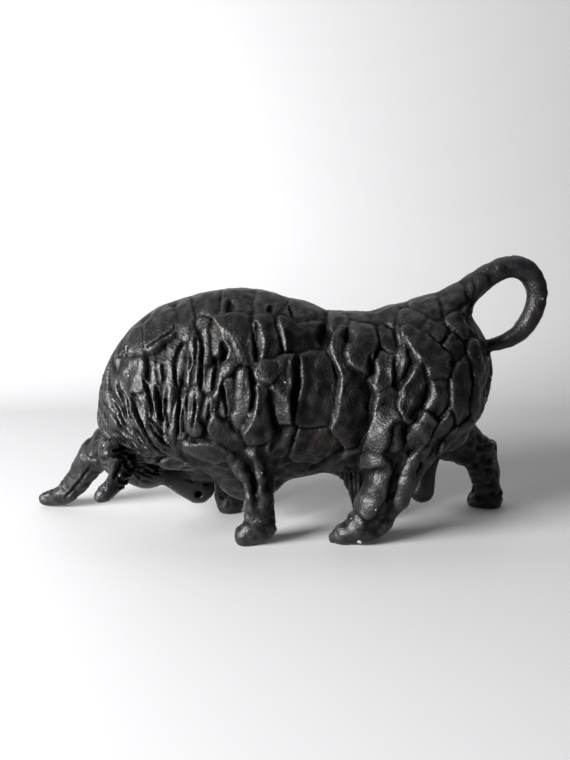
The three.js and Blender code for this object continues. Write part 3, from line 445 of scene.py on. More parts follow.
# %% Strands of the mane
JAW = [-67.3, -33.2, 49.6]
STRANDS = 38
STRAND_FROM, STRAND_STEP = -30, 4.5  # longitude of the first one and the space between two, in degrees
STRAND_CHANCE = 1.6  # how far chance moves each one, in degrees
STRAND_SPACE = 58  # radius by which longitudes are turned into millimetres
STRAND_TWIST, TWIST_END = 350, 12  # how much the strands turn as they near the jaw, and where that ends
STRAND_WAVE, WAVE_LONG, WAVE_STEP = 2.4, 7, 2.1  # their swing, its length, and how far on the next one is
# Half width and depth in millimetres, and first and last latitude, each with what chance adds or takes
STRAND_RANGES = [(1.0, 0.3), (1.7, 0.7), (15, 9), (66, 16)]
STRAND_FADES = (10, 14)  # degrees over which a strand begins and ends
STRAND_FIRM, FIRM_CHANCE, FIRM_LONG = 0.6, 0.9, 9  # how firm the tool's pressure is, and how it changes
STRAND_LATITUDES = (5, 88)  # no strand is looked for outside these
MANE_EDGE = (1.1, 1.25)  # how far off the egg of the mane the strands fade, as shares of its size


def on_mane(p):
    """Latitude and longitude about the jaw on the egg of the mane, in degrees, and the size of that egg."""
    unit = lambda v: v / np.linalg.norm(v)
    middle, radii = np.array(MANE[0], float), np.array(MANE[1], float)
    pole = unit((np.array(JAW) - middle) / radii)
    up = unit(np.array([0, 0, 1.0]) - pole[2] * pole)
    fore = np.cross(pole, up)
    q = (np.stack([p[:, 0], -np.abs(p[:, 1]), p[:, 2]], 1) - middle) / radii
    size = np.linalg.norm(q, axis=1)
    rho = np.degrees(np.arccos(np.clip(q @ pole / size, -1, 1)))
    theta = np.degrees(np.arctan2(q @ fore, q @ up)) + STRAND_TWIST / np.maximum(rho, TWIST_END)
    return rho, theta, size


def stranded(p):
    """Height of the grooves between the strands at each point."""
    rho, theta, size = on_mane(p)
    mm = np.sin(np.radians(rho)) * STRAND_SPACE * math.pi / 180
    h = np.zeros(len(p))
    inner, outer = STRAND_LATITUDES
    for i in range(STRANDS):
        at = STRAND_FROM + STRAND_STEP * i + STRAND_CHANCE * float(chance(i, 1, 0))
        wide, deep, first, last = (mean + spread * float(chance(i, n, 0))
                                   for n, (mean, spread) in enumerate(STRAND_RANGES, 2))
        off = (theta - at - STRAND_WAVE * np.sin(rho / WAVE_LONG + i * WAVE_STEP)) * mm
        near = np.flatnonzero((np.abs(off) < 3 * wide) & (rho > inner) & (rho < outer))
        r = rho[near]
        strength = np.maximum(STRAND_FIRM + FIRM_CHANCE * uneven(r / FIRM_LONG, i * 3.7, 5), 0)
        span = smooth(first, first + STRAND_FADES[0], r) * (1 - smooth(last - STRAND_FADES[1], last, r))
        h[near] -= deep * strength * span * np.exp(-((off[near] / wide) ** 2))
    return h * (1 - smooth(*MANE_EDGE, size))


# %% [markdown]
# A knife or a wire tool leaves a groove that starts and ends narrow, with a low lip of clay pushed up on
# each side. A curve with a bevel, taken out by a boolean, would need the lips added to it. As a height along
# a line of points both come from one short formula.

# %% Cuts of the knife
CUTS = {"left": [], "right": [], "sheath": []}
ENDS = 0.3  # width and depth of a cut at its ends, as a share of those in its middle
GROOVE = 0.75  # spread of the groove, in widths of the cut
LIP, LIP_OFF, LIP_WIDE = 0.22, 1.5, 0.6  # the lips' height as a share of the depth, place and width


def cut(side, wide, deep, *line):
    """Adds a cut along a line of [x, z] points."""
    CUTS[side].append((wide, deep, np.array(line, float)))


def incised(cuts, px, pz):
    """Height of the cuts at each point: a groove that is widest in the middle, between two raised lips."""
    h = np.zeros(len(px))
    for wide, deep, line in cuts:
        middle = line.mean(0)
        reach = max(np.hypot(*(line - middle).T)) + 3 * wide
        near = np.flatnonzero(np.hypot(px - middle[0], pz - middle[1]) < reach)
        best, along = np.full(len(near), FAR), np.zeros(len(near))
        for i, ((ax, az), (bx, bz)) in enumerate(zip(line, line[1:])):
            lx, lz = bx - ax, bz - az
            t = np.clip(((px[near] - ax) * lx + (pz[near] - az) * lz) / (lx * lx + lz * lz), 0, 1)
            d = np.hypot(px[near] - ax - lx * t, pz[near] - az - lz * t)
            along = np.where(d < best, (i + t) / (len(line) - 1), along)
            best = np.minimum(best, d)
        lens = ENDS + (1 - ENDS) * np.sqrt(np.maximum(np.sin(math.pi * along), 0))
        off = best / (wide * lens)
        lips = LIP * np.exp(-(((off - LIP_OFF) / LIP_WIDE) ** 2))
        h[near] += deep * lens * (lips - np.exp(-((off / GROOVE) ** 2)))
    return h


# %% [markdown]
# The slabs of the left flank are grouped by where they lie. Each line gives how far a slab stands out, how
# it leans, and its spine as [x, z, half width] in millimetres, with x along the bull and z up. Each follows
# a slab of the real casting, because chance alone would not give the bull its muscles.

# %% The left flank
# Crest
slab("left", 1, 0.3, -0.3, [-91, 117, 5.5], [-87, 122, 5.5])
slab("left", 1.6, 0.3, -0.5, [-78, 124, 6.5], [-70, 131, 7.5])
slab("left", 1.2, 0.4, -0.3, [-59, 137, 6], [-57, 129, 5])
slab("left", 0.9, 0.2, 0, [-47, 142, 6.5], [-43, 144, 6.5])
slab("left", 0.8, -0.4, 0, [-30, 142, 7.5], [-24, 144, 7])
slab("left", 0.8, -0.5, 0, [-10, 142, 8], [-5, 143, 7.5])
slab("left", 0.5, -0.4, 0, [8, 137, 9], [16, 136, 7])
# Brow of the mane
slab("left", 0.7, 0.3, -0.4, [-90, 105, 7], [-87, 97, 4.5])
# Strands behind the mane
slab("left", 1.4, 0.5, 0, [-53, 125, 2], [-52, 115, 2], [-53, 104, 1.5], [-53, 95, 1.5])
slab("left", 1.2, 0.5, 0, [-48, 125, 1.5], [-48, 112, 2], [-49, 99, 2])
slab("left", 1.5, 0.6, 0, [-46, 131, 3], [-44, 121, 2.5], [-43, 110, 2])
slab("left", 1.3, 0.3, 0, [-39, 125, 3], [-39, 118, 3])
slab("left", 1.4, 0.3, 0, [-50, 92, 4], [-51, 82, 4], [-52, 73, 3])
slab("left", 1.5, 0.6, -0.2, [-31, 123, 2], [-27, 112, 2.5], [-33, 105, 2], [-37, 99, 2], [-38, 91, 2])
slab("left", -0.2, -0.4, 0, [-40, 105, 3.5], [-41, 96, 4])
slab("left", 0.6, 0.3, 0, [-41, 87, 3], [-46, 79, 2.5])
slab("left", 0.7, 0.2, 0, [-32, 98, 2.5], [-31, 88, 3], [-34, 79, 3])
# Shoulder
slab("left", 1.6, -0.9, 0, [-28, 129, 8.5], [-22, 116, 6])
slab("left", 1.9, -0.6, 0, [-13, 130, 6], [-8, 117, 6.5])
slab("left", 1.4, -0.7, 0.1, [3, 124, 8.5], [14, 123, 9])
slab("left", 1.7, 0.5, 0, [-23, 103, 2], [-22, 93, 3.5], [-24, 82, 4.5], [-26, 76, 4.5])
slab("left", 1.2, -0.6, 0.3, [-36, 74, 6], [-30, 67, 5.5])
slab("left", 3, -0.7, 0.2, [-12, 95, 3], [-11, 84, 4.5], [-14, 76, 7.5], [-17, 73, 6])
# Fist and finger
slab("left", 4.2, 0.4, -0.4, [-9, 104, 6], [-1, 107, 6.5], [-3, 97, 5.5], [-2, 88, 4.5], [1, 80, 4])
# Elbow
slab("left", 1.3, -0.3, 0.4, [3, 72, 4.5], [-2, 62, 5.5])
slab("left", 1.5, 0.2, 0.6, [-55, 60, 2.5], [-47, 59, 4.5], [-38, 58, 5.5])
# Rib
slab("left", 1.5, -1, 0, [18, 104, 11], [17, 84, 11.5])
slab("left", 1, -0.6, 0.4, [13, 63, 10], [21, 60, 10])
slab("left", 0.7, 0.3, 0, [29, 130, 4.5], [34, 130, 4])
slab("left", 1.6, -0.7, 0, [34, 124, 4], [28, 113, 4], [32, 104, 4.5])
slab("left", 0.6, -1, 0, [38, 95, 9], [38, 71, 10])
# Loin
slab("left", 2.4, 0.4, -0.6, [44, 122, 8], [44, 112, 8])
slab("left", 0.9, -0.6, 0, [57, 123, 5], [59, 118, 5])
slab("left", 0.6, 0, 0.2, [46, 134, 6], [60, 136, 6])
# Flank
slab("left", 2.2, 0.4, -0.5, [55, 109, 6.5], [54, 100, 6])
slab("left", 1.4, -0.5, 0, [70, 121, 2.5], [67, 110, 4.5], [62, 97, 3])
# Croup
slab("left", 1.3, 0, 0.3, [70, 131, 4], [78, 131, 4])
slab("left", 1, 0.3, 0, [66, 128, 1.5], [67, 119, 2])
slab("left", 0.9, -0.3, 0.2, [83, 128, 4.5], [89, 125, 5])
slab("left", 0.9, -0.4, 0, [93, 120, 5], [96, 113, 4.5])
slab("left", 1.4, -0.2, 0.2, [99, 131, 5.5], [101, 126, 4])
slab("left", 2.6, -0.8, 0.5, [72, 123, 5], [79, 116, 8], [86, 108, 8])
# Thigh
slab("left", 3, -0.9, 0.1, [77, 105, 4], [74, 94, 7], [69, 83, 5.5])
slab("left", 3.4, -0.2, -0.1, [60, 91, 5], [57, 80, 7.5], [53, 65, 7.5], [51, 51, 5.5])
slab("left", 1.2, -0.3, 0.3, [61, 73, 4.5], [58, 62, 5])
# Buttock
slab("left", 1.3, -0.5, 0.2, [86, 96, 5.5], [85, 86, 5.5])
slab("left", 1.5, -0.9, 0, [99, 106, 5.5], [99, 92, 7], [97, 82, 5.5])
slab("left", 0.9, -0.5, 0, [111, 115, 4], [112, 99, 4], [109, 85, 3.5])
slab("left", 1.6, -0.2, 0.4, [102, 74, 3], [94, 66, 3.5], [89, 59, 2.5])
# Hock
slab("left", 2.2, 0.5, 0, [78, 77, 4], [73, 65, 3.5], [71, 57, 3])
slab("left", 1.6, 0.6, 0, [71, 58, 3], [68, 43, 3], [65, 29, 2.5])
slab("left", 2, -0.4, 0.3, [90, 79, 4.5], [86, 68, 5.5], [81, 57, 3.5])
# Shank
slab("left", 1.8, 0.4, 0, [53, 48, 5], [51, 36, 4.5], [47, 25, 4])
slab("left", 0.7, 0.2, 0, [39, 15, 5], [33, 7, 4])
# Tail root
slab("left", 0.9, 0, -0.3, [84, 138, 6], [88, 141, 5.5])
slab("left", 1, 0, -0.3, [96, 141, 6], [102, 145, 5.5])
slab("left", 1.4, 0.3, 0, [104, 135, 2], [108, 143, 2], [111, 150, 2])
slab("left", 1.2, 0.2, 0, [110, 137, 2], [113, 147, 2], [117, 154, 2])

cut("left", 4, 4, [-76, 51], [-69, 50], [-60, 48])  # under the jaw
cut("left", 1.5, 2.4, [-93, 117], [-95, 110])  # front notch of the crest
cut("left", 3, 2.6, [-30, 143], [-33, 136])  # hollow of the crest
cut("left", 2.5, 2, [-10, 139], [-8, 136])
cut("left", 1, 1.6, [2, 139], [5, 132])  # crack of the crest
cut("left", 2.5, 3, [-17, 130], [-15, 119], [-16, 110])  # behind the shoulder
cut("left", 1.5, 2.4, [-6, 132], [-1, 115])
cut("left", 3, 3.4, [5, 112], [6, 98], [3, 77])  # behind the fist
cut("left", 4, 3, [-9, 94], [-5, 85], [-3, 73], [-8, 60])  # before the finger
cut("left", 4, 2.4, [23, 129], [21, 118])  # end of the shoulder row
cut("left", 1.5, 1.6, [27, 110], [30, 100], [29, 77])  # edge of the rib
cut("left", 2.5, 2.8, [48, 112], [49, 98])  # of the loin
cut("left", 3.5, 2.2, [36, 125], [37, 118])  # behind the loin
cut("left", 2.5, 2.6, [70, 116], [73, 110], [66, 97])  # before the thigh
cut("left", 2.5, 2.2, [93, 111], [94, 106])
cut("left", 3, 2.4, [82, 98], [78, 87], [70, 78])  # behind the thigh
cut("left", 5.5, 3.6, [66, 75], [70, 67], [71, 57])  # behind the stifle
cut("left", 3, 2.2, [67, 54], [63, 42], [59, 29])  # groove of the shank
cut("left", 2.5, 1.6, [16, 42], [30, 54], [47, 61])  # belly crease
cut("left", 3, 2, [86, 68], [88, 66])  # pit of the hock

# %% Gouges of the mane and the head
cut("left", 2.2, 1.8, [-95.5, 50], [-97, 46], [-98, 42])  # root of the near horn
cut("right", 1.5, 1.3, [-148, 9], [-137, 20], [-126, 34])  # along the far horn
cut("right", 1, 1, [-131, 44], [-126, 40], [-121, 40])  # under the far ear
cut("left", 1.3, 1.6, [-97, 45], [-90, 37], [-82, 33])  # hair of the jaw
cut("left", 1.2, 1.4, [-95, 38], [-89, 31], [-82, 29])
cut("left", 1.3, 1.6, [-88, 45], [-80, 41], [-70, 39])
cut("left", 1.1, 1.3, [-80, 36], [-73, 31], [-66, 30])
cut("left", 1.4, 1.8, [-72, 44], [-63, 43], [-54, 45])
cut("left", 1.1, 1.3, [-66, 37], [-60, 35], [-53, 37])
cut("left", 0.8, 1.4, [-63.5, 129.5], [-64, 125.5], [-69.5, 122], [-74, 119], [-78.5, 116])  # crest's foot
cut("left", 0.9, 1.6, [-83.5, 127], [-82, 123], [-81, 117], [-79, 114.5])  # brow of the mane
cut("left", 0.8, 1.4, [-95.5, 117.5], [-96, 113.5], [-99.5, 110])
cut("left", 1.4, 2.8, [-81, 99], [-79, 92], [-77, 83.5], [-76, 77.5])  # upper mane
cut("left", 0.6, 1.2, [-77, 114.5], [-75.5, 106.5])
cut("left", 1.9, 3.4, [-74, 96], [-72.5, 87.5], [-70, 78], [-68.5, 74.5])
cut("left", 0.6, 1.2, [-72, 112.5], [-73.5, 108.5])
cut("left", 1.1, 2, [-69.5, 109.5], [-69.5, 101])
cut("left", 0.9, 2.2, [-68, 92.5], [-68, 84], [-66.5, 74.5], [-66, 71.5])
cut("left", 1, 2, [-63, 109.5], [-62, 100], [-60.5, 95])
cut("left", 1.1, 2.4, [-59.5, 93], [-60.5, 77], [-61.5, 66.5])
cut("left", 0.8, 2, [-58, 94], [-57.5, 84.5], [-58.5, 71], [-57, 69.5])
cut("left", 1, 2, [-55, 115.5], [-53, 111], [-54, 104])
cut("left", 1.1, 2.4, [-54, 95], [-55.5, 84.5], [-57, 69.5])
cut("left", 1.3, 2.8, [-48.5, 126.5], [-46.5, 115.5], [-46.5, 106], [-46.5, 93])
cut("left", 0.9, 2, [-49.5, 91.5], [-50, 83], [-52.5, 71.5])
cut("left", 1.1, 2.4, [-38, 110], [-39, 102], [-40.5, 93.5])  # behind the mane
cut("left", 1, 2.2, [-41.5, 87.5], [-43, 79], [-45.5, 70])
cut("left", 2, 3, [-35, 121.5], [-33.5, 116], [-35, 110.5])
cut("left", 1.2, 2.4, [-35, 98], [-33.5, 92], [-32, 79])
cut("left", 1.4, 2.6, [-19, 106.5], [-17, 92.5], [-18.5, 81.5], [-23, 72])
cut("left", 1.5, 3, [-95, 91.5], [-92, 84], [-89, 75.5])  # forehead
cut("left", 1.4, 2.8, [-100.5, 84.5], [-97, 77.5], [-92.5, 70.5], [-89, 68.5])
cut("left", 0.8, 1.6, [-88, 92], [-85.5, 87.5])
cut("left", 1.4, 2.6, [-86.5, 81.5], [-82.5, 74.5], [-79, 68.5])
cut("left", 1.4, 2.6, [-77, 77.5], [-72.5, 70.5], [-67.5, 63])
cut("left", 1, 2, [-84.5, 68], [-81, 63.5], [-77.5, 57])  # cheek
cut("left", 1, 2, [-97, 59.5], [-91.5, 56], [-87.5, 50.5])
cut("left", 0.7, 1.5, [-93, 65], [-87, 59.5])
cut("left", 1, 2, [-73.5, 68], [-69.5, 62], [-65, 59])
cut("left", 1, 2, [-97, 53], [-91.5, 47.5], [-87.5, 40.5])
cut("left", 1.2, 2.4, [-80, 47], [-68.5, 50], [-57.5, 49])
cut("left", 1.2, 2.4, [-98, 74.5], [-96, 68.5], [-90, 64.5])
cut("left", 1.4, 2.6, [-83.5, 76], [-80.5, 70.5], [-78.5, 65.5], [-75.5, 60], [-72.5, 56], [-67, 53.5])
cut("left", 1.2, 2.4, [-77, 74], [-73.5, 68], [-68.5, 61])
cut("left", 0.7, 1.5, [-70, 69], [-66, 66])
cut("left", 0.7, 1.5, [-106, 65.5], [-102.5, 61])
cut("left", 1, 2, [-97, 62.5], [-92, 60], [-88, 57], [-86, 54.5])
cut("left", 0.8, 1.7, [-85, 65], [-82, 60.5], [-80, 59])
cut("left", 1.2, 2.2, [-99, 58], [-93, 56.5], [-90, 53])
cut("left", 1, 1.9, [-95.5, 54.5], [-90.5, 51], [-87, 41])
cut("left", 1, 2, [-79.5, 39], [-73.5, 35.5], [-66.5, 35])

# %% Hair of the sheath
HAIRS, HAIR_FROM, HAIR_STEP = 6, 33, 2.7  # how many grooves, x of the first, and from one to the next
for i in range(HAIRS):
    x = HAIR_FROM + HAIR_STEP * i
    cut("sheath", 0.7, 0.8 + 0.4 * float(chance(i, 6, 0)), [x - 3, 50], [x, 36], [x + 2, 14])

# %% [markdown]
# The right flank is the same hand at work, a little plainer. A mirrored copy would show as one, so each
# slab is moved by a few millimetres, those of the rump go back with the leg that pushes, and the slabs of
# the striding leg aren't repeated.

# %% The right flank
PLAINER = 0.85  # how much lower the slabs of the right flank are
MOVED, MOVED_LONG = 4, 9  # how far chance moves them, and over what length that changes
CREST_FOOT = 122  # the slabs above this cross the middle plane, so they aren't moved
BACK, RUMP = 6, 60  # how far back the slabs behind the x of the rump go
STRIDING_LEG = (50, 82)  # the slabs behind this x and below this z belong to the left leg alone
for rise, lean_x, lean_z, spine in SLABS["left"]:
    cx, cz = spine[:, :2].mean(0)
    if cx > STRIDING_LEG[0] and cz < STRIDING_LEG[1]:
        continue
    moved = 0 if cz > CREST_FOOT else MOVED * float(uneven(cx / MOVED_LONG, 3, cz / MOVED_LONG))
    back = BACK if cx > RUMP else 0
    slab("right", PLAINER * rise, lean_x, lean_z, *(spine + [moved + back, -moved / 2, 0]))
slab("right", 1.8, 0.6, -0.4, [84, 96, 9], [98, 76, 11], [104, 66, 9])
slab("right", 1.4, -0.5, 0, [-30, 68, 8], [-37, 38, 6])
for wide, deep, line in CUTS["left"]:
    if line[0][1] > 84 or line[0][0] < -50:  # those of the back, the mane and the head
        cut("right", wide, deep, *(line + [2, -1]))
cut("right", 1.5, 1.4, [-54, 36], [-46, 28], [-40, 24])  # between the tendons of the far foreleg
print(len(SLABS["left"]), "slabs and", len(CUTS["left"]), "cuts on the left,",
      len(SLABS["right"]), "slabs and", len(CUTS["right"]), "cuts on the right")

# %% [markdown]
# The whole carving is the sum of all that: the bed between the slabs, humps and dents of the hand, facets,
# slabs, and cuts. The flank is seen square, so near the middle plane, where the skin turns away, the
# carving grows milder. It ends above the soles, which stand flat.

# %% The whole carving
RECESS = -1.8  # how deep the bed lies where no slab does
# Humps of the hand: their height, then their size in x, y and z, all in millimetres
HUMPS = [(0.7, 13, 13, 13), (0.45, 5, 5, 6), (0.22, 1.8, 1.8, 3.2)]
TAIL_HUMPS = (1.1, 4, 4, 3.4)  # on the tail and the rear of the far hind leg
HOOF_HUMPS = (0.6, 2.8, 2.8, 2.4)  # on the chipped hooves
FACET_HIGH, FACET_BED = 1.3, 0.4  # millimetres that facets() is multiplied by, and how low their middles are
MANE_LOWER = 0.7  # how much lower the front of the mane is
CUT_STRAY = 0.6  # how far a cut strays, as a share of how far a slab does
MIDDLE_CALM = 0.3  # what is left of the carving in the middle plane
# Where each of these begins and is in full, in x or in z
BED_X, BED_Z = (-66, -50), (52, 70)
TAIL_X, HOOF_Z = (112, 124), (14, 28)
FRONT_X, FRONT_Z = (-70, -45), (70, 90)
TRUNK_Z, SOLE_Z = (52, 64), (1, 9)
# How far off the middle plane the carving begins and is in full, on the trunk and on the legs
TRUNK_OFF, LEGS_OFF = (3, 16), (5, 12)


def humps(p, high, *size):
    """Unevenness of a height, with humps of a size in x, y and z."""
    return high * uneven(*(p / size).T)


def carving(p):
    """Height of the carving at each point of the skin."""
    x, y, z = p.T
    stray_x, stray_z = wander(x, z), wander(z, x)
    bed = RECESS * smooth(*BED_X, x) * smooth(*BED_Z, z) + stranded(p)
    h = sum(humps(p, *row) for row in HUMPS)
    h += humps(p, *TAIL_HUMPS) * smooth(*TAIL_X, x)
    h += humps(p, *HOOF_HUMPS) * (1 - smooth(*HOOF_Z, z))
    h += FACET_HIGH * facets(p) - FACET_BED - MANE_LOWER * (1 - smooth(*FRONT_X, x)) * smooth(*FRONT_Z, z)
    for side, there in (("left", y < 0), ("right", y >= 0)):
        at = np.flatnonzero(there)
        h[at] += laid(SLABS[side], (x + stray_x)[at], (z + stray_z)[at], bed[at])
        h[at] += incised(CUTS[side], (x + CUT_STRAY * stray_x)[at], (z + CUT_STRAY * stray_z)[at])
    calm = MIDDLE_CALM + (1 - MIDDLE_CALM) * smooth(*TRUNK_OFF, np.abs(y))
    h *= np.maximum(smooth(*TRUNK_Z, z) * calm, smooth(*LEGS_OFF, np.abs(y))) * smooth(*SOLE_Z, z)
    sheath = np.flatnonzero((np.abs(y) < 15) & (z < 56) & (x > 20) & (x < 60))
    h[sheath] += incised(CUTS["sheath"], x[sheath], z[sheath])
    return h


# %% [markdown]
# ## From skin to mesh
# Each point of the smooth skin moves along its normal by the carving's height. The carving could go into the
# distance instead, but the grid would cut the steep edges of the slabs into steps, and moved points keep
# them clean. The four soles are then pressed flat on the ground, the points are moved to the frame's own
# origin, and Decimate takes out the points that the flat places don't need, so that the piece stays under
# 200,000 triangles.

# %% A mesh from points and faces
def mesh_of(name, points, faces):
    """A new object of a name, with its place in its mesh."""
    mesh = bpy.data.meshes.new(name)
    mesh.vertices.add(len(points))
    mesh.vertices.foreach_set("co", np.asarray(points, np.float32).ravel())
    mesh.loops.add(faces.size)
    mesh.loops.foreach_set("vertex_index", np.asarray(faces, np.int32).ravel())
    mesh.polygons.add(len(faces))
    mesh.polygons.foreach_set("loop_start", np.arange(0, faces.size, faces.shape[1], dtype=np.int32))
    mesh.update(calc_edges=True)
    obj = bpy.data.objects.new(name, mesh)
    bpy.context.collection.objects.link(obj)
    return obj


def normals_of(mesh):
    """The normal at each point of a mesh, as rows."""
    n = np.empty(len(mesh.vertices) * 3, np.float32)
    mesh.vertex_normals.foreach_get("vector", n)
    return n.reshape(-1, 3).astype(float)


# %% Carve the skin
bull = mesh_of("cast_bull", points, quads)
normals = normals_of(bull.data)
height = carving(points)
carved = points + normals * height[:, None]
carved[:, 2] = np.maximum(carved[:, 2], 0)
print("carved between", round(height.min(), 1), "and", round(height.max(), 1), "mm")

# %% Move it to the frame's origin
middle = (carved.max(0) + carved.min(0)) / 2
frame_middle = np.array((low + high) / 2) * 1000
shift = np.array([frame_middle[0] - middle[0], frame_middle[1] - middle[1], 0])
bull.data.vertices.foreach_set("co", ((carved + shift) / 1000).astype(np.float32).ravel())
bull.data.update()
print("moved by", shift.round(2), "mm")

# %% Fewer triangles where it is flat
MOST_TRIANGLES = 176000  # leaves room for the grains of sand


def settle(obj, modifier_type, **settings):
    """Adds a modifier and bakes its result into the object's mesh."""
    modifier = obj.modifiers.new(modifier_type, modifier_type)
    for key, value in settings.items():
        setattr(modifier, key, value)
    evaluated = obj.evaluated_get(bpy.context.evaluated_depsgraph_get())
    mesh = bpy.data.meshes.new_from_object(evaluated)
    obj.modifiers.remove(modifier)
    old, obj.data = obj.data, mesh
    bpy.data.meshes.remove(old)


settle(bull, "DECIMATE", ratio=MOST_TRIANGLES / (2 * len(quads)), use_collapse_triangulate=True)
bull.data.polygons.foreach_set("use_smooth", np.ones(len(bull.data.polygons), bool))
print("mesh", len(bull.data.polygons), "triangles")

# %% [markdown]
# ## Black paint on cast iron
# The real finish is satin black paint, brushed or sprayed over grey iron cast in sand. The skin of the
# casting shows through it as fine pits. Hands have rubbed the ridges lighter and glossier, while the hollows
# stay dull. The ridges are also painted lighter and given more reflection, as a painted highlight, and the
# hollows less reflection, as painted shade. It could be painted into an image, but an image fits only one
# unwrapped mesh. Nodes that read the place on the piece, and one value at each point that says how sharp the
# form is there, stay true when the mesh changes. Of the three helpers here, one turns colours to linear
# ones, one works out a pattern's scale from its size in millimetres, and one adds a node.

# %% Colours, scales and nodes
def linear(hex_colour):
    """Turns an sRGB hex colour into the linear RGBA that nodes take."""
    parts = [int(hex_colour[i:i + 2], 16) / 255 for i in (1, 3, 5)]
    return [c / 12.92 if c <= 0.04045 else ((c + 0.055) / 1.055) ** 2.4 for c in parts] + [1.0]


def pattern_scale(cells, mm):
    """Scale of a pattern with so many cells in so many millimetres, on coordinates in metres."""
    return 1000.0 * cells / mm


def node(tree, kind, inputs=(), **settings):
    """Adds a node. inputs holds (socket, value) pairs; a socket as the value makes a link."""
    made = tree.nodes.new(kind)
    for key, value in settings.items():
        setattr(made, key, value)
    for socket, value in inputs:
        if isinstance(value, bpy.types.NodeSocket):
            tree.links.new(value, made.inputs[socket])
        else:
            made.inputs[socket].default_value = value
    return made


# %% How sharp each ridge and crack is
TENTHS = 1e4  # tenths of a millimetre in a metre
SMOOTHINGS = 3  # how often the value is evened out between neighbours


def ridges(obj):
    """Stores, for each point, how far it stands above its neighbours, in tenths of a millimetre."""
    mesh = obj.data
    at = np.empty(len(mesh.vertices) * 3, np.float32)
    mesh.vertices.foreach_get("co", at)
    at = at.reshape(-1, 3).astype(float)
    ends = np.empty(len(mesh.edges) * 2, np.int32)
    mesh.edges.foreach_get("vertices", ends)
    a, b = ends.reshape(-1, 2).T
    count = np.bincount(np.r_[a, b], minlength=len(at))
    mean = np.stack([np.bincount(np.r_[a, b], np.r_[at[b, k], at[a, k]], len(at)) for k in range(3)], 1)
    sharp = ((at - mean / count[:, None]) * normals_of(mesh)).sum(1) * TENTHS
    for _ in range(SMOOTHINGS):
        sharp = 0.5 * sharp + 0.5 * np.bincount(np.r_[a, b], np.r_[sharp[b], sharp[a]], len(at)) / count
    mesh.attributes.new("ridge", "FLOAT", "POINT").data.foreach_set("value", sharp.astype(np.float32))
    print("ridges between", sharp.min().round(1), "and", sharp.max().round(1), "tenths of a millimetre")


ridges(bull)

# %% [markdown]
# Where the real bull was knocked, on the toes, the edges of the slabs and the tail, the paint has chipped
# off and left pale spots, and rust stains it at a few places on the flank, the crest and the tail. Noise
# alone would scatter such marks evenly. So each is a ball at its own place, with an edge that noise makes
# ragged.

# %% Chips and rust, by where they are on the real bull
RAGGED = pattern_scale(1, 2)  # the edges of the spots bend about every 2 mm
# Each is [x, y, z, radius] in millimetres
CHIPS = [
    [39.3, -38, 16.5, 0.7], [41.5, -39, 13.9, 1.0], [46.3, -39, 10.2, 0.8], [43.9, -40, 3.8, 1.4],
    [-18.7, -41, 10.9, 0.9], [-21.2, -38, 2.6, 1.0], [89.1, -42, 116.5, 0.6], [103.8, -36, 105.5, 0.7],
    [106.5, -30, 88.3, 0.6], [-94.5, -30, 98.3, 0.9], [138.1, -6, 167.0, 0.6], [155.5, -6, 143.4, 0.6],
]
RUST = [[149.3, -6, 135.6, 1.5], [21.1, -42, 64.3, 3], [-38.5, -37, 129.5, 2], [31, -43, 66, 2.5]]


def spotted(tree, place, spots, soft):
    """A value that is 1 inside any of the spots and 0 outside them, with an edge that is soft mm wide."""
    ragged = node(tree, "ShaderNodeTexNoise", [("Vector", place), ("Scale", RAGGED)])
    most = None
    for x, y, z, radius in spots:
        centre = [(a + b) / 1000 for a, b in zip(shift, (x, y, z))]
        away = node(tree, "ShaderNodeVectorMath", [(0, place), (1, centre)], operation="DISTANCE")
        # noise is about a half, so this is twice the radius, in metres
        edge = 0.002 * radius
        off = node(tree, "ShaderNodeMath", [(0, ragged.outputs["Fac"]), (1, edge),
                                            (2, away.outputs["Value"])], operation="MULTIPLY_ADD")
        inside = node(tree, "ShaderNodeMapRange", [
            ("Value", off.outputs["Value"]), ("From Min", edge), ("From Max", edge + soft / 1000),
            ("To Min", 1.0), ("To Max", 0.0)]).outputs["Result"]
        if most is not None:
            inside = node(tree, "ShaderNodeMath", [(0, most), (1, inside)], operation="MAXIMUM").outputs[0]
        most = inside
    return most


# %% [markdown]
# Satin paint gives the eye broad, soft highlights, strongest on the ridges, where the paint is rubbed and
# where more reflection is painted on as a highlight, and the pits of the skin break them up. A real pit is
# as wide as a grain of sand, a quarter of a millimetre, which is too fine to show here, so the pits are
# drawn 1.4 mm wide. Glossier paint with a texture of scratches would look like plastic, and a metal shader
# would look like bare iron.

# %% Black satin paint
PIT_GRAIN = pattern_scale(7, 10)  # pits of the casting skin: 7 in 10 mm
CLOUDS = pattern_scale(3, 50)  # thinner and thicker paint: 3 clouds in 50 mm
FLECKS = pattern_scale(9, 100)  # flecks where the paint is off: 9 in 100 mm
FLECK_SIZE = 0.035  # radius of a fleck, as a share of the space between two
CHIP_EDGE, RUST_EDGE = 0.2, 5  # how wide their soft edges are, in millimetres


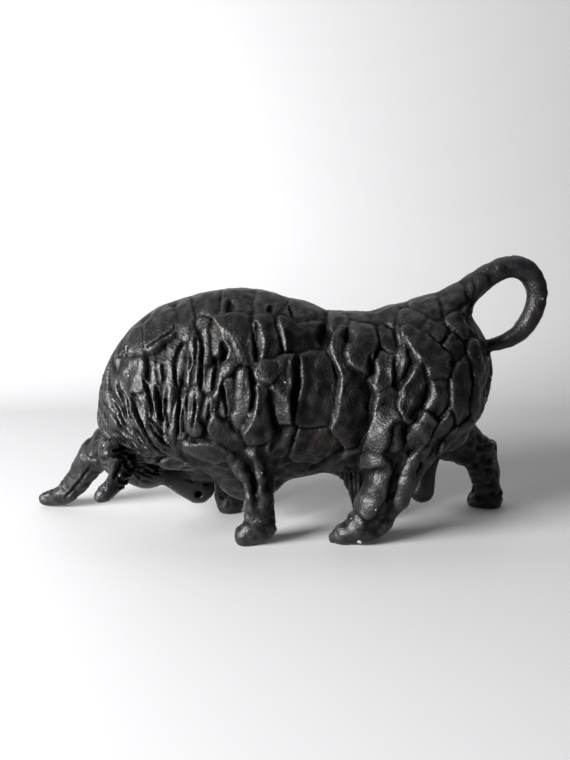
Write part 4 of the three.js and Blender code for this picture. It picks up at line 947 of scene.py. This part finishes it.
def black_paint():
    """Satin black paint on cast iron, rubbed and with a painted highlight on the ridges, reflecting less in
    the hollows as painted shade, with rust stains, chips and flecks.
    """
    material = bpy.data.materials.new("satin_black_paint_on_cast_iron")
    material.use_nodes = True
    tree = material.node_tree
    tree.nodes.clear()
    place = node(tree, "ShaderNodeTexCoord").outputs["Object"]
    grain = node(tree, "ShaderNodeTexNoise", [("Vector", place), ("Scale", PIT_GRAIN),
                                              ("Detail", 4.0)]).outputs["Fac"]
    cloud = node(tree, "ShaderNodeTexNoise", [("Vector", place), ("Scale", CLOUDS),
                                              ("Detail", 3.0)]).outputs["Fac"]
    ridge = node(tree, "ShaderNodeAttribute", attribute_name="ridge").outputs["Fac"]
    # the ridges are tinted lighter: partly rubbed paint, partly a painted highlight
    wear_and_painted_highlight = node(tree, "ShaderNodeMapRange", [("Value", ridge), ("From Min", 0.1), ("From Max", 0.9)])
    rust = node(tree, "ShaderNodeMath", [(0, spotted(tree, place, RUST, RUST_EDGE)), (1, cloud)],
                operation="MULTIPLY")
    fleck = node(tree, "ShaderNodeTexVoronoi", [("Vector", place), ("Scale", FLECKS)])
    speck = node(tree, "ShaderNodeMath", [(0, fleck.outputs["Distance"]), (1, FLECK_SIZE)],
                 operation="LESS_THAN")
    chip = node(tree, "ShaderNodeMath", [(0, spotted(tree, place, CHIPS, CHIP_EDGE)),
                                         (1, speck.outputs["Value"])], operation="MAXIMUM")
    # from deep black to thinner paint, then the ridges, rubbed and painted lighter as a highlight, then what
    # is rusty and bare, each over the one before
    tint = linear("#010101")
    for amount, colour in ((cloud, "#060606"), (wear_and_painted_highlight.outputs["Result"], "#131315"),
                           (rust.outputs["Value"], "#1c130f"), (chip.outputs["Value"], "#8d8a86")):
        tint = node(tree, "ShaderNodeMix", [("Factor", amount), ("A", tint), ("B", linear(colour))],
                    data_type="RGBA").outputs["Result"]
    # rough in the hollows and smoother on the rubbed ridges; the specular level is lower in the hollows as
    # painted shade and higher on the ridges as a painted highlight
    rough = node(tree, "ShaderNodeMapRange", [("Value", grain), ("To Min", 0.3), ("To Max", 0.5)])
    rubbed = node(tree, "ShaderNodeMapRange", [("Value", ridge), ("From Min", -0.6), ("From Max", 0.8),
                                               ("To Min", 0.12), ("To Max", -0.03)])
    rough = node(tree, "ShaderNodeMath", [(0, rough.outputs["Result"]), (1, rubbed.outputs["Result"])])
    # less reflection in the hollows is painted shade, and more on the ridges is a painted highlight
    shine_and_painted_shade = node(tree, "ShaderNodeMapRange", [("Value", ridge), ("From Min", -1.2), ("From Max", 0.6),
                                              ("To Min", 0.05), ("To Max", 0.25)])
    bump = node(tree, "ShaderNodeBump", [("Height", grain), ("Strength", 0.9), ("Distance", 0.0006)])
    shader = node(tree, "ShaderNodeBsdfPrincipled", [
        ("Base Color", tint), ("Roughness", rough.outputs["Value"]),
        ("Specular IOR Level", shine_and_painted_shade.outputs["Result"]), ("Normal", bump.outputs["Normal"])])
    node(tree, "ShaderNodeOutputMaterial", [("Surface", shader.outputs["BSDF"])])
    return material


paint = black_paint()
bull.data.materials.append(paint)
print(paint.name, "has", len(paint.node_tree.nodes), "nodes")

# %% [markdown]
# Grains of moulding sand that burnt onto the iron sit all over it, under the paint. They could be one more
# bump in the material, but the largest stand out against the light at the outline. Geometry Nodes scatter
# them: it is one bead, repeated on a surface, and its number, sizes and seed stay inputs of the group. A
# real grain is rarely more than half a millimetre across. The beads here are up to twice that, which is
# about as small as still shows.

# %% Grains of sand on the skin
def grit_group(material):
    """A node group that scatters beads over a mesh and joins them to it."""
    tree = bpy.data.node_groups.new("burnt_on_sand", "GeometryNodeTree")
    socket = tree.interface.new_socket
    socket("Geometry", in_out="INPUT", socket_type="NodeSocketGeometry")
    socket("Geometry", in_out="OUTPUT", socket_type="NodeSocketGeometry")
    for name, kind, value in (("Grains per square metre", "NodeSocketFloat", 8000.0),
                              ("Radius", "NodeSocketFloat", 0.00042),
                              ("Smallest, as a share", "NodeSocketFloat", 0.4),
                              ("Largest, as a share", "NodeSocketFloat", 1.2),
                              ("Seed", "NodeSocketInt", 5)):
        socket(name, in_out="INPUT", socket_type=kind).default_value = value
    given = node(tree, "NodeGroupInput").outputs
    points = node(tree, "GeometryNodeDistributePointsOnFaces", [
        ("Mesh", given["Geometry"]), ("Density", given["Grains per square metre"]), ("Seed", given["Seed"])])
    bead = node(tree, "GeometryNodeMeshIcoSphere", [("Radius", given["Radius"]), ("Subdivisions", 1)])
    size = node(tree, "FunctionNodeRandomValue", [
        (2, given["Smallest, as a share"]), (3, given["Largest, as a share"]), ("Seed", given["Seed"])])
    beads = node(tree, "GeometryNodeInstanceOnPoints", [
        ("Points", points.outputs["Points"]), ("Instance", bead.outputs["Mesh"]),
        ("Rotation", points.outputs["Rotation"]), ("Scale", size.outputs[1])])
    plain = node(tree, "GeometryNodeRealizeInstances", [("Geometry", beads.outputs["Instances"])])
    both = node(tree, "GeometryNodeJoinGeometry")
    tree.links.new(plain.outputs["Geometry"], both.inputs[0])
    tree.links.new(given["Geometry"], both.inputs[0])
    painted = node(tree, "GeometryNodeSetMaterial", [("Geometry", both.outputs[0]), ("Material", material)])
    node(tree, "NodeGroupOutput", [(0, painted.outputs["Geometry"])])
    return tree


settle(bull, "NODES", node_group=grit_group(paint))
bull.data.polygons.foreach_set("use_smooth", np.ones(len(bull.data.polygons), bool))
print("with grains", len(bull.data.polygons), "triangles")

# %% [markdown]
# The finished mesh now stands for the plain solid of the frame. The solid could be left inside it, but would
# show through where the carving goes deeper, so it is hidden, and stays only for collisions.

# %% Its place in the frame
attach(bull, "root")
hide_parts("bull")

# %% [markdown]
# ## Floor, light and camera
# Black paint shows its form by what it reflects more than by its colour, so the studio is chosen for its
# highlights: a small window box ahead of the bull and low, which rakes over the slabs, and a wide, weaker
# box overhead and behind, which draws the back and the crest against the wall. Small bare lamps would be
# simpler, but black paint shows them as hard white points. The floor is a sheet of pale paper that curves
# up into a wall, so no edge crosses behind the bull.

# %% Floor
FLOOR_FRONT, FLOOR_HALF = -0.38, 1.6  # where it starts before the bull, and half its width
WALL, WALL_TOP, BEND = 0.62, 3.0, 0.25  # how far behind the wall is, its height, and the radius at its foot
BEND_STEPS = 12


def sweep():
    """A floor that curves up into a wall, as in a photographer's studio."""
    profile = [(FLOOR_FRONT, 0.0)] + [
        (WALL - BEND + BEND * math.sin(a), BEND - BEND * math.cos(a))
        for a in np.linspace(0, math.pi / 2, BEND_STEPS)] + [(WALL, WALL_TOP)]
    points = [(x, y, z) for y, z in profile for x in (-FLOOR_HALF, FLOOR_HALF)]
    faces = [[2 * i, 2 * i + 1, 2 * i + 3, 2 * i + 2] for i in range(len(profile) - 1)]
    floor = mesh_of("studio_floor", np.array(points), np.array(faces))
    floor.data.polygons.foreach_set("use_smooth", np.ones(len(faces), bool))
    material = bpy.data.materials.new("white_paper")
    material.use_nodes = True
    shader = material.node_tree.nodes["Principled BSDF"]
    shader.inputs["Base Color"].default_value = linear("#a0a0a1")
    shader.inputs["Roughness"].default_value = 0.6
    floor.data.materials.append(material)


sweep()

# %% Light
def softbox(name, place, aim, size, watts):
    """Adds a rectangular light at a place, turned to the point it aims at."""
    light = bpy.data.lights.new(name, "AREA")
    light.shape = "RECTANGLE"
    light.size, light.size_y = size
    light.energy = watts
    obj = bpy.data.objects.new(name, light)
    bpy.context.collection.objects.link(obj)
    obj.location = place
    obj.rotation_euler = Vector(np.array(aim) - np.array(place)).to_track_quat("-Z", "Y").to_euler()


# place, aim and size in metres, then watts
softbox("window", (-0.92, -0.66, 0.4), (0, 0, 0.08), (0.55, 0.45), 74)
softbox("ceiling", (0.1, 0.7, 1.5), (0.1, 0.2, 0.0), (2.4, 1.4), 21)
world = bpy.data.worlds.new("room")
bpy.context.scene.world = world
world.use_nodes = True
world.node_tree.nodes["Background"].inputs["Color"].default_value = linear("#e8e8ea")
world.node_tree.nodes["Background"].inputs["Strength"].default_value = 0.12

# %% [markdown]
# The camera looks at the left flank from 454 mm away, a little from above. Its distance comes from how much
# smaller the far hooves look than the near ones, and its tilt from how high they stand in the picture. A
# longer lens from further off would frame the bull alike, but would flatten it.

# %% Camera
LENS = 35.05  # millimetres, with the 36 mm sensor over the height of an upright picture
EYE = (0, -454.3, 162.5)  # in the millimetres of the masses above
DOWN = 8.682  # degrees
NEAREST = 0.01  # metres
camera = bpy.data.objects.new("camera", bpy.data.cameras.new("camera"))
bpy.context.collection.objects.link(camera)
camera.data.lens = LENS
camera.data.clip_start = NEAREST
camera.location = [(a + b) / 1000 for a, b in zip(shift, EYE)]
camera.rotation_euler = (math.radians(90 - DOWN), 0, 0)
bpy.context.scene.camera = camera
bpy.context.scene.view_settings.view_transform = "Standard"
